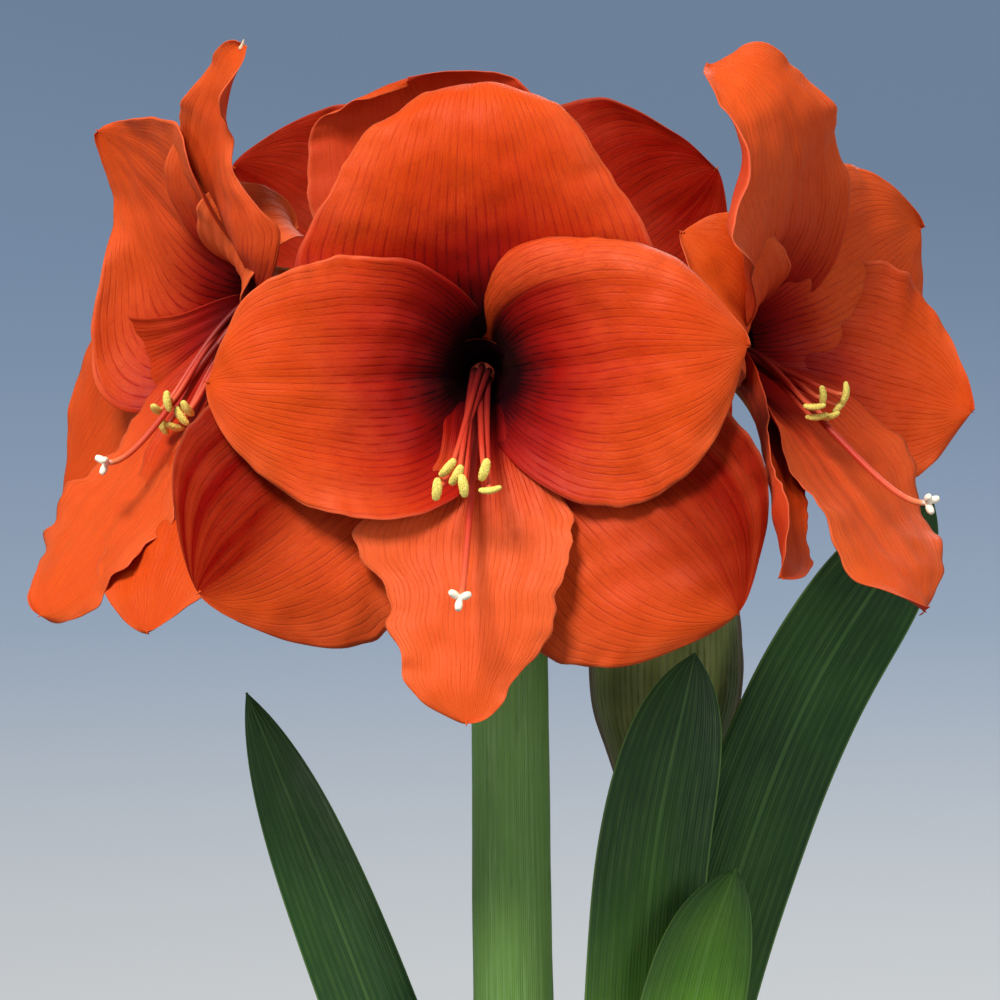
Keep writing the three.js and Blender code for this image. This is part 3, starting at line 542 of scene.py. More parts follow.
shape = lump * stretch[:, None] * pick.uniform(0.75, 1.2, (CRUMBS, len(lump), 1))
spin = pick.uniform(0, 2 * np.pi, CRUMBS)
tilt = pick.normal(0, 0.35, CRUMBS)
east, north, high = np.moveaxis(shape, -1, 0)
east, high = swung(east, high, tilt[:, None])
east, north = swung(east, north, spin[:, None])
seats = np.stack([x, y, soil_height(x, y) + 0.25 * size], -1)
crumbs = np.stack([east, north, high], -1) * size[:, None, None] + seats[:, None]
crumb_mesh = bpy.data.meshes.new("soil_crumbs")
crumb_faces = lump_faces[None] + len(lump) * np.arange(CRUMBS)[:, None, None]
crumb_mesh.from_pydata((crumbs.reshape(-1, 3) / 1000).tolist(), [], crumb_faces.reshape(-1, 3).tolist())
for mark, values in (("kind", kind), ("tone", pick.uniform(0, 1, CRUMBS))):
    kept = crumb_mesh.attributes.new(mark, "FLOAT", "POINT").data
    kept.foreach_set("value", np.repeat(values, len(lump)).astype("f"))
soil_crumbs = show("soil_crumbs", crumb_mesh)
crumb_finish, tree, shader = new_finish("crumb", Roughness=0.85, Specular_IOR_Level=0.25)
sort = mark_of(tree, "kind")
tone = mark_of(tree, "tone")
peat = mix(tone, (34, 23, 16), (84, 60, 42))
bark = mix(tone, (92, 56, 34), (140, 94, 60))
stone = mix(tone, (196, 188, 174), (232, 228, 218))
shade = mix(ease(sort, 0.2, 0.3), peat, bark)
shade = mix(ease(sort, 0.7, 0.8), shade, stone)
grit = grit_of(place_of(tree), 1600)["Height"]
shade = mix(times(grit, 0.45), shade, (30, 20, 14))
coat(shader, shade)
relief(shader, grit, 0.8, 0.0004)
crumb_mesh.materials.append(crumb_finish)
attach(soil_crumbs, "root")

# Bulb. One onion-like bulb, 104 mm across, its lower half in the soil. Dry brown skins wrap it, ribbed from
# root to neck, and the outermost is torn into points below the pale green neck that the leaves leave from.
BULB_NECK = 186
NECK_START = 128
NECK_WIDEN = 37 / 30


def lengthwise(name):
    """A node group for what runs along a blade or stem. Lines are Count per unit of Across, wandering by
    Wander and broken up along their length; Net is the mesh of long cells between them."""
    group, given, out = effect(name, [("Along", "Float", 0.0), ("Across", "Float", 0.0),
                                      ("Count", "Float", 12.0),
                                      ("Wander", "Float", 0.03), ("Sharp", "Float", 5.0),
                                      ("Seed", "Float", 0.0)], ["Lines", "Net"])
    cloud = noise(place_at(times(given["Along"], 2.2), times(given["Across"], 3.0), given["Seed"]), 1.0,
                  1.5)
    drift = times(less(cloud, 0.5), given["Wander"])
    phase = times(plus(given["Across"], drift), given["Count"])
    saw = times(calc("ABSOLUTE", less(calc("FRACT", phase), 0.5)), 2.0)
    crest = calc("POWER", saw, given["Sharp"])
    own = place_at(times(given["Along"], 16.0), times(calc("ROUND", phase), 3.7), given["Seed"])
    broken = plus(0.3, times(ease(noise(own, 1.0, 2.0), 0.36, 0.62), 0.7))
    group.links.new(times(crest, broken), out["Lines"])
    mesh_at = place_at(times(given["Along"], times(given["Count"], 0.8)), times(phase, 1.3), given["Seed"])
    gap = node(group, "TexVoronoi", {"Vector": mesh_at, "Scale": 1.0},
               feature="DISTANCE_TO_EDGE").outputs["Distance"]
    group.links.new(ease(gap, 0.11, 0.015), out["Net"])
    return group


veins = lengthwise("lengthwise_lines")


def lay(tree):
    """The piece's own length (0 to 1) and breadth coordinates."""
    spread = node(tree, "SeparateXYZ", {0: node(tree, "UVMap", uv_map="lay").outputs[0]}).outputs
    return spread["X"], spread["Y"]


def lines_of(along_it, across_it, count, wander=0.03, sharp=5.0, seed=0.0):
    """The Lines and Net outputs of the lengthwise lines."""
    wires = {"Along": along_it, "Across": across_it, "Count": count, "Wander": wander, "Sharp": sharp,
             "Seed": seed}
    return node(along_it.id_data, "Group", wires, node_tree=veins).outputs


def smooth(x, low, high):
    """0 below low, 1 above high, 3t squared less 2t cubed between."""
    t = np.clip((x - low) / (high - low), 0, 1)
    return t * t * (3 - 2 * t)


def necked(radius, height, angle):
    """Points at those radii, heights and angles, with the neck drawn out sideways by NECK_WIDEN and shifted
    1 mm as it rises."""
    part = smooth(height, NECK_START, BULB_NECK)
    x = radius * np.cos(angle) * (1 + (NECK_WIDEN - 1) * part) - part
    return np.stack([x, radius * np.sin(angle) + part, height], -1)


def bulb_shell(line, sides, ribs, seed):
    """The bulb's profile turned about Z, with ribs that run from root to neck."""
    radius, height, angle = turned(line, sides)
    wide = np.clip(radius / 30, 0, 1)
    rib = crinkle(26 * np.cos(angle) * 3, 26 * np.sin(angle) * 3, 30, 5, seed, 36) * wide
    radius = radius + ribs * rib + 0.25 * crinkle(height, 50 * angle, 30, 8, seed + 1) * wide
    return necked(radius, height, angle), *turned_shell(radius, height, angle)[1:]


bulb_skin, tree, shader = new_finish("bulb_skin", Specular_IOR_Level=0.4)
where = place_of(tree)
rise = height_of(where)
length, breadth = lay(tree)
fine = lines_of(length, breadth, 90.0, 0.02, 3.0)
broad = lines_of(length, breadth, 26.0, 0.05, 1.6, 4.0)
skin = mix(mask(where, 28, 0.35), (122, 72, 40), (168, 112, 66))
skin = wash(skin,
            (broad["Lines"], 0.5, (206, 160, 108)),
            (fine["Lines"], 0.6, (78, 42, 24)),
            (mask(where, 60, 0.16), 0.4, (66, 38, 24)))
neck = mix(times(fine["Lines"], 0.45), (168, 172, 112), (112, 124, 66))
neck = mix(times(mask(where, 50, 0.3), 0.45), neck, (150, 112, 70))
edge = plus(rise, times(less(noise(where, 60, 3.0), 0.5), 0.02))
shade = mix(ease(edge, 0.158, 0.176), skin, neck)
coat(shader, shade, plus(0.42, times(mask(where, 45, 0.4), 0.25)))
relief(shader, less(times(broad["Lines"], 0.6), times(fine["Lines"], 0.5)), 0.8, 0.0007)
body_line = rounded(BULB_LINE, 4, 5)
piece("bulb_body", [bulb_shell(body_line, 180, 0.35, 31)], bulb_skin, "bulb", "bulb")

# Torn skin: the dry outermost coat, a paper-thin collar standing 1 mm off the bulb, its upper edge in points.
COLLAR_FOOT = 112
COLLAR_EDGE = 144
rows, sides = 44, 220
angle = circle(sides)
round_x = 60 * np.cos(angle)
round_y = 60 * np.sin(angle)
waves = 10 * np.abs(np.sin(3.5 * angle + 0.6)) ** 2 + 5 * np.sin(2 * angle + 1)
points_up = waves + 3 * crinkle(round_x, round_y, 30, 3, 41, 30)
top_edge = COLLAR_EDGE + points_up
s = np.linspace(0, 1, rows)[:, None]
z = COLLAR_FOOT + (top_edge - COLLAR_FOOT) * s
r = np.interp(z, BULB_LINE[:-1, 1] + np.arange(len(BULB_LINE) - 1) * 1e-6, BULB_LINE[:-1, 0])
lifted = smooth(crinkle(round_x, round_y, 60, 20, 42), -0.3, 1.2)
curl = 0.7 + 2.6 * s ** 6 * lifted + 0.25 * crinkle(60 * angle, z, 12, 4, 43)
outer = r + curl + 0.45
inner = r + curl
loop_r = np.concatenate([outer, inner[::-1], outer[:1]], 0)
loop_z = np.concatenate([z, z[::-1] - 0.05, z[:1]], 0)
collar = necked(loop_r, loop_z, angle)
uv = grid(np.concatenate([s[:, 0], s[::-1, 0], s[:1, 0]]), np.linspace(0, 1, sides + 1))
dry_skin, tree, shader = new_finish("dry_skin", Specular_IOR_Level=0.35)
where = place_of(tree)
length, breadth = lay(tree)
fine = lines_of(length, breadth, 110.0, 0.02, 3.0, 2.0)
broad = lines_of(length, breadth, 34.0, 0.05, 1.6, 7.0)
skin = mix(mask(where, 40, 0.3), (140, 86, 48), (186, 132, 80))
skin = wash(skin,
            (broad["Lines"], 0.45, (216, 174, 122)),
            (fine["Lines"], 0.6, (92, 52, 30)),
            (ease(length, 0.86, 1.0), 0.5, (84, 50, 30)))
coat(shader, skin, plus(0.38, times(mask(where, 70, 0.4), 0.3)))
relief(shader, less(times(broad["Lines"], 0.5), times(fine["Lines"], 0.5)), 0.9, 0.0006)
piece("bulb_torn_skin", [(collar, uv, {})], dry_skin, "bulb")

# Scapes. Two stout, smooth flower stems, 25 mm thick, that stand in the bulb's neck. They are waxy
# mid green with fine broken streaks and a faint ribbing along them.
SCAPE_FOOT, SCAPE_TOP = np.array([-17.0, -3, 150]), np.array([-23.5, -5, 512])
SECOND_FOOT, SECOND_TOP = np.array([17.0, 13, 150]), np.array([24.0, 20, 394])


def through(spots, count, ends=None):
    """count points spaced evenly by length on a smooth curve through spots: on each span a cubic whose
    slopes come from the square roots of the chord lengths, so it never loops."""
    spots = np.array(spots, float)
    padded = np.concatenate([[2 * spots[0] - spots[1]], spots, [2 * spots[-1] - spots[-2]]])
    gap = np.linalg.norm(np.diff(padded, axis=0), axis=1) ** 0.5
    p0, p1, p2, p3 = padded[:-3], padded[1:-2], padded[2:-1], padded[3:]
    d0, d1, d2 = gap[:-2, None], gap[1:-1, None], gap[2:, None]
    leave = ((p1 - p0) / d0 - (p2 - p0) / (d0 + d1) + (p2 - p1) / d1) * d1
    reach = ((p2 - p1) / d1 - (p3 - p1) / (d1 + d2) + (p3 - p2) / d2) * d1
    f = np.linspace(0, 1, 80)[:, None, None]
    line = ((2 * f ** 3 - 3 * f ** 2 + 1) * p1 + (f ** 3 - 2 * f ** 2 + f) * leave
            + (3 * f ** 2 - 2 * f ** 3) * p2 + (f ** 3 - f ** 2) * reach).transpose(1, 0, 2).reshape(-1, 3)
    run = np.concatenate([[0], np.cumsum(np.linalg.norm(np.diff(line, axis=0), axis=1))])
    at = run[-1] * (np.linspace(0, 1, count) if ends is None else ends)
    return np.stack([np.interp(at, run, line[:, k]) for k in range(3)], -1)


def unit(vectors):
    """The vectors made 1 long."""
    return vectors / np.linalg.norm(vectors, axis=-1, keepdims=True)


def rod(path, radius, sides, flat=1.0, about=(1.0, 0.0, 0.0), marks=None):
    """A closed rod round a path: each ring is square to the path, its first axis as near to about as can
    be, with its own radius, and flat as the share of its depth. Both ends are drawn to a point."""
    path = np.asarray(path, float)
    tangent = unit(np.gradient(path, axis=0))
    first = unit(np.array(about) - tangent * (tangent @ np.array(about))[:, None])
    deep = np.cross(tangent, first)
    turn = circle(sides)
    radius = np.broadcast_to(np.asarray(radius, float).reshape(len(path), -1), (len(path), sides))
    flat = np.broadcast_to(np.asarray(flat, float).reshape(-1, 1), (len(path), 1))
    wide = first[:, None] * (radius * np.cos(turn))[..., None]
    rings = path[:, None] + wide + deep[:, None] * (radius * flat * np.sin(turn))[..., None]
    start = np.repeat(rings[:1].mean(1, keepdims=True), sides, 1)
    end = np.repeat(rings[-1:].mean(1, keepdims=True), sides, 1)
    points = np.concatenate([start, rings, end])
    rows = np.concatenate([[0], np.linspace(0, 1, len(path)), [1]])
    uv = grid(rows, np.linspace(0, 1, sides + 1))
    named = {}
    for key, value in (marks or {}).items():
        value = np.broadcast_to(np.reshape(value, (-1, 1)), (len(path), sides))
        named[key] = np.concatenate([value[:1], value, value[-1:]])
    return points, uv, named


def scape_shell(foot, top, lean, foot_radius, top_radius, seed):
    """A stem along a slight bow, tapering evenly, with 26 faint ribs, slow swellings and a rounded top."""
    path = through([foot, (foot + top) / 2 + [lean, 0, 0], top], 170)
    u = np.linspace(0, 1, 170)[:, None]
    turn = circle(84)
    radius = foot_radius + (top_radius - foot_radius) * u
    rim = np.sqrt(np.clip(1 - ((u - 0.985) / 0.015).clip(0, 1) ** 2 * 0.2, 0, 1))
    ribs = 0.07 * np.cos(26 * turn) + 0.10 * crinkle(40 * turn, 300 * u, 80, 20, seed)
    return rod(path, (radius + ribs) * rim, 84)


stem_skin, tree, shader = new_finish("stem_skin", Specular_IOR_Level=0.25)
where = place_of(tree)
length, breadth = lay(tree)
rise = height_of(where)
hair = lines_of(length, breadth, 120.0, 0.02, 3.0)
streak = lines_of(length, breadth, 38.0, 0.05, 2.0, 5.0)
drawn = node(tree, "Mapping", {"Vector": where, "Scale": (420, 420, 34)}).outputs[0]
green = mix(ease(rise, 0.20, 0.48), (92, 132, 56), (106, 146, 70))
green = wash(green,
             (mask(where, 40, 0.4), 0.4, (78, 118, 50)),
             (streak["Lines"], 0.45, (126, 160, 96)),
             (hair["Lines"], 0.5, (48, 82, 40)),
             (ease(noise(drawn, 1.0, 3.0, 0.6), 0.56, 0.72), 0.4, (52, 84, 44)),
             (ease(rise, 0.215, 0.18), 0.5, (126, 96, 66)))
coat(shader, green, plus(0.36, times(mask(where, 120, 0.4), 0.2)))
relief(shader, plus(times(hair["Lines"], -0.5), times(noise(drawn, 1.0, 3.0), 0.5)), 0.6, 0.0004)
piece("scape_main_stem", [scape_shell(SCAPE_FOOT, SCAPE_TOP, -1.5, 13.4, 11.4, 51)], stem_skin, "stem",
      "scape_main")
piece("scape_second_stem", [scape_shell(SECOND_FOOT, SECOND_TOP, 1.0, 11.8, 10.6, 52)], stem_skin, "stem",
      "scape_second")

# Pedicels. Four short green stalks rise from the top of the main stem and turn outwards, one to each bloom;
# each swells into a three-lobed ovary just behind its flower.
CLEARANCE = 0.3
BLOOM_SEATS = {
    "front": ((-31, -79, 531), -3, -2, -95),
    "left": ((-90, -42, 556), -62, -10, 175),
    "right": ((36, -46, 540), 54, -3, -5),
    "back": ((-35, 50, 541), 178, 6, 85),
}


def bloom_axes(azimuth, elevation):
    """A bloom's own right, up and outward directions. Azimuth 0 faces the viewer and turns to the right."""
    a = math.radians(azimuth)
    e = math.radians(elevation)
    axis = np.array([math.sin(a) * math.cos(e), -math.cos(a) * math.cos(e), math.sin(e)])
    right = np.array([math.cos(a), math.sin(a), 0])
    return np.stack([right, np.cross(axis, right), axis])


def bezier(a, b, c, d, t):
    """From a to d, pulled towards b and then c: (1-t)^3 a + 3t(1-t)^2 b + 3t^2(1-t) c + t^3 d."""
    t = t[:, None]
    return (1 - t) ** 3 * a + 3 * t * (1 - t) ** 2 * b + 3 * t ** 2 * (1 - t) * c + t ** 3 * d


stalk_skin, tree, shader = new_finish("stalk_skin", Roughness=0.42, Specular_IOR_Level=0.4)
length, breadth = lay(tree)
hair = lines_of(length, breadth, 40.0, 0.04, 3.0)
green = mix(ease(length, 0.45, 1.0), (94, 128, 62), (122, 118, 56))
green = wash(green,
             (ease(length, 0.93, 1.0), 1, (150, 74, 44)),
             (hair["Lines"], 0.5, (58, 86, 40)),
             (mask(place_of(tree), 120, 0.4), 0.4, (132, 156, 88)))
coat(shader, green)
relief(shader, hair["Lines"], -0.5, 0.0003)
for name, (base, azimuth, elevation, socket) in BLOOM_SEATS.items():
    away = np.array([math.cos(math.radians(socket)), math.sin(math.radians(socket)), 0])
    root = SCAPE_TOP + 5.6 * away + [0, 0, -5]
    axis = bloom_axes(azimuth, elevation)[2]
    seat = np.array(base) - CLEARANCE * axis
    path = through(bezier(root, root + 10 * away + [0, 0, 22], seat - 26 * axis, seat,
                          np.linspace(0, 1, 40)), 70)
    u = np.linspace(0, 1, 70)
    run = np.linalg.norm(np.diff(path, axis=0), axis=1).sum()
    swelling = np.exp(-((((1 - u) * run - 9) / 6) ** 2))
    turn = circle(36)
    stalk = (3.1 + 0.9 * smooth(u, 0.5, 1) + 2.2 * swelling)[:, None]
    radius = stalk * (1 + 0.09 * swelling[:, None] * np.cos(3 * turn)) + 0.05 * np.cos(9 * turn)
    piece(f"pedicel_{name}_stalk", [rod(path, radius, 36)], stalk_skin, "stem", f"pedicel_{name}")

# Bracts. Two dry papery blades, left from the split sheath that held the buds, hang from the rim of the main
# stem's top. They are brown, wrinkled and almost translucent.
BLADE_COLUMNS = 29


def blade(middle, thickness, u, marks=None):
    """A closed thin blade from the grid of its middle surface: each side half the thickness away along the
    surface's own normal, joined round the rim, and folded shut at both ends. side is 1 where the surface
    looks against that normal."""
    normal = np.cross(np.gradient(middle, axis=0), np.gradient(middle, axis=1))
    normal /= np.linalg.norm(normal, axis=-1, keepdims=True) + 1e-12
    offset = normal * (np.broadcast_to(thickness, middle.shape[:2]) / 2)[..., None]
    loop = np.concatenate([middle + offset, (middle - offset)[:, ::-1]], 1)
    points = np.concatenate([(loop[:1] + loop[:1, ::-1]) / 2, loop, (loop[-1:] + loop[-1:, ::-1]) / 2])
    columns = middle.shape[1]
    v = np.linspace(-1, 1, columns)
    v = np.concatenate([v, v[::-1], v[:1]])
    rows = np.concatenate([u[:1], u, u[-1:]])
    uv = grid(rows, v)
    named = {"side": np.broadcast_to(np.repeat([0.0, 1.0], columns), points.shape[:2])}
    for key, value in (marks or {}).items():
        value = np.broadcast_to(value, middle.shape[:2])
        value = np.concatenate([value, value[:, ::-1]], 1)
        named[key] = np.concatenate([value[:1], value, value[-1:]])
    return points, uv, named


bract_paper, tree, shader = new_finish("bract_paper", Roughness=0.7, Specular_IOR_Level=0.25)
length, breadth = lay(tree)
where = place_of(tree)
hair = lines_of(length, breadth, 16.0, 0.08, 3.0)
shade = mix(mask(where, 90, 0.35), (140, 96, 62), (186, 148, 104))
shade = wash(shade,
             (hair["Lines"], 0.6, (98, 60, 38)),
             (ease(length, 0.2, 0.0), 1, (126, 130, 74)),
             (hair["Net"], 0.3, (112, 70, 44)))
coat(shader, shade)
relief(shader, plus(hair["Lines"], noise(where, 300, 3.0)), 0.8, 0.0006)
for name, sign in (("left", -1), ("right", 1)):
    spots = SCAPE_TOP + np.array([(8.6, 0, -10), (13, -1, -4), (21, -2, -14), (25, -4, -36),
                                  (22, -6, -58)]) * [sign, 1, 1]
    path = through(spots, 64)
    u = np.linspace(0, 1, 64)
    v = np.linspace(-1, 1, BLADE_COLUMNS)[None, :, None]
    tangent = unit(np.gradient(path, axis=0))
    across = unit(np.array([0.0, 1, 0]) - tangent * tangent[:, 1:2])
    outward = np.cross(tangent, across)
    half = np.maximum(0.3, 4.5 + 6.5 * np.sin(np.pi * np.minimum(1, u * 1.1)) - 3.7 * u)
    half = np.maximum(0.25, half * np.sqrt(np.clip((1 - u) * 12, 0, 1)))[:, None, None]
    wrinkle = 0.7 * crinkle(60 * u[:, None], 9 * v[..., 0], 16, 5, 61 + sign)
    lift = sign * 0.22 * half * v ** 2 + wrinkle[..., None]
    middle = path[:, None] + across[:, None] * half * v + outward[:, None] * lift
    piece(f"bract_{name}_blade", [blade(middle, 0.4, u)], bract_paper, "bract", f"bract_{name}")

# Bud. The closed sheath on the second stem: two leathery olive valves pressed together round the flowers
# inside, drawn out to a tip and turning papery and brown-red along their seams.
BUD_HALF = [10.6, 15.6, 21.6, 23.6, 22.4, 18.6, 13.2, 7.2, 1.6]


def along(stations, u):
    """A smooth cubic through evenly spaced stations, its slopes half the step between the neighbours."""
    stations = np.array(stations, float)
    slope = np.gradient(stations)
    x = np.clip(u, 0, 1) * (len(stations) - 1)
    i = np.minimum(x.astype(int), len(stations) - 2)
    f = x - i
    return ((2 * f ** 3 - 3 * f ** 2 + 1) * stations[i] + (f ** 3 - 2 * f ** 2 + f) * slope[i]
            + (3 * f ** 2 - 2 * f ** 3) * stations[i + 1] + (f ** 3 - f ** 2) * slope[i + 1])


bud_skin, tree, shader = new_finish("bud_skin", Roughness=0.5, Specular_IOR_Level=0.22)
length, breadth = lay(tree)
where = place_of(tree)
hair = lines_of(length, breadth, 64.0, 0.03, 3.0)
broad = lines_of(length, breadth, 20.0, 0.06, 1.6, 3.0)
olive = mix(mask(where, 50, 0.35), (96, 112, 52), (128, 138, 72))
olive = wash(olive,
             (broad["Lines"], 0.4, (150, 152, 92)),
             (hair["Lines"], 0.55, (70, 82, 38)))
seam = times(calc("ABSOLUTE", less(calc("FRACT", plus(times(breadth, 2.0), 0.5)), 0.5)), 2.0)
papery = times(ease(plus(seam, times(noise(where, 90, 3.0), 0.25)), 0.42, 0.1), 0.85)
dry = mix(broad["Lines"], (112, 60, 38), (164, 112, 72))
olive = mix(papery, olive, dry)
olive = mix(ease(length, 0.82, 1.0), olive, (126, 84, 50))
coat(shader, olive)
relief(shader, less(broad["Lines"], hair["Lines"]), 0.6, 0.0006)
path = through([(24, 20, 394.3), (25.5, 21, 425), (27, 22, 455), (33, 22, 490), (41, 22, 516)], 110)
u = np.linspace(0, 1, 110)
turn = circle(100)
valve = 1 + 0.035 * np.exp(-(np.sin(turn) / 0.12) ** 2) - 0.05 * np.exp(-(np.sin(turn) / 0.035) ** 2)
radius = along(BUD_HALF, u)[:, None] * (1 + (valve - 1) * smooth(u, 0.05, 0.3)[:, None])
radius = radius + 0.35 * crinkle(120 * u[:, None], 22 * turn, 60, 12, 71) * smooth(u, 0, 0.2)[:, None]
piece("bud_sheath", [rod(path, radius, 100, flat=1 - 0.2 * np.clip(3 * u, 0, 1))], bud_skin, "spathe",
      "bud")

# Leaves. Four strap leaves rise from the neck, 30 to 37 mm wide, thick along the midrib and thin at the
# margin, dark satin green with fine parallel veins and brighter where they are young or near the bulb.
LEAVES = {
    "left": ([(-20, 15, 160), (-36, 16, 250), (-67.5, 14, 338), (-88, 11, 391), (-105, 8, 434)], 10.5, 15,
             30, (0.15, -1, 0), 0.0),
    "middle": ([(13, -10.5, 160), (14, -12.5, 250), (17.5, -14, 338), (22, -14, 390), (34, -12, 447)], 11,
               17.6, 15, (0.1, -1, 0), 0.75),
    "small": ([(12, -18, 160), (20, -23, 250), (31, -26, 330), (38, -27, 360), (46, -27, 382)], 9, 16.8,
              15, (0, -1, 0.1), 1.0),
    "right": ([(12, -3.5, 160), (16, -1.5, 255), (39, 0, 350), (69, 0, 432), (108, -3, 494)], 10.5, 18.6,
              15, (0.25, -1, 0), 0.35),
}
leaf_green, tree, shader = new_finish("leaf_green", Specular_IOR_Level=0.22)
length, breadth = lay(tree)
where = place_of(tree)
rise = height_of(where)
fresh = mark_of(tree, "fresh")
side = mark_of(tree, "side")
off_mid = calc("ABSOLUTE", breadth)
hair = lines_of(length, breadth, 17.0, 0.015, 3.0)
broad = lines_of(length, breadth, 7.0, 0.04, 1.4, 6.0)
dark = mix(mask(where, 26, 0.4), (30, 60, 30), (44, 80, 36))
bright = mix(mask(where, 30, 0.4), (84, 138, 32), (108, 158, 42))
young = times(fresh, ease(plus(rise, times(off_mid, 0.03)), 0.425, 0.30), clamp=True)
low = times(ease(rise, 0.30, 0.19), 0.55)
green = mix(calc("MAXIMUM", young, low), dark, bright)
green = mix(times(broad["Lines"], 0.3), green, mix(0.5, green, (120, 160, 80)))
green = wash(green,
             (hair["Lines"], 0.4, (20, 44, 24)),
             (ease(off_mid, 0.05, 0.0), 0.4, (90, 130, 66)),
             (ease(off_mid, 0.955, 0.995), 0.75, (120, 158, 84)),
             (less(1.0, side), 0.35, (74, 108, 62)),
             (ease(rise, 0.205, 0.175), 1, (150, 166, 98)))
coat(shader, green, plus(0.33, times(mask(where, 70, 0.4), 0.2)))
relief(shader, plus(times(hair["Lines"], -0.7), times(noise(where, 500, 3.0), 0.3)), 0.5, 0.0004)
s = np.linspace(0, 1, 150)
v = np.linspace(-1, 1, BLADE_COLUMNS)[None, :, None]
for seed, (name, (spots, root, half_width, taper, face, youth)) in enumerate(LEAVES.items()):
    u = 1 - (1 - s) ** 1.5
    path = through(spots, 0, ends=u)
    run = np.linalg.norm(np.diff(path, axis=0), axis=1).sum()
    tangent = unit(np.gradient(path, u, axis=0))
    across = unit(np.cross(tangent, face))
    outward = np.cross(across, tangent)
    widen = root + (half_width - root) * smooth(u, 0, 0.5)
    half = np.maximum(0.3, widen * (1 - np.exp(-(1 - u) * run / taper)))[:, None, None]
    up = u[:, None]
    flat_v = v[..., 0]
    wave = 0.5 * crinkle(run * up, half_width * flat_v, 120, 35, 81 + seed) * np.abs(flat_v) ** 1.5
    wave = wave * smooth(up, 0.15, 0.4)
    channel = -0.9 * np.exp(-(flat_v / 0.16) ** 2) * smooth(up, 0, 0.2) * (1 - up)
    channel = channel + 0.1 * np.cos(2 * np.pi * 3.5 * flat_v)
    lift = -0.11 * half * v ** 2 + (wave + channel)[..., None]
    middle = path[:, None] + across[:, None] * half * v + outward[:, None] * lift
    thick = 0.7 + (2.6 - 1.2 * up) * (1 - flat_v ** 2)
    thick = thick * (0.25 + 0.75 * smooth(1 - up, 0, 0.04))
    piece(f"leaf_{name}_strap", [blade(middle, thick, u, {"fresh": youth})], leaf_green, "leaf",
          f"leaf_{name}")

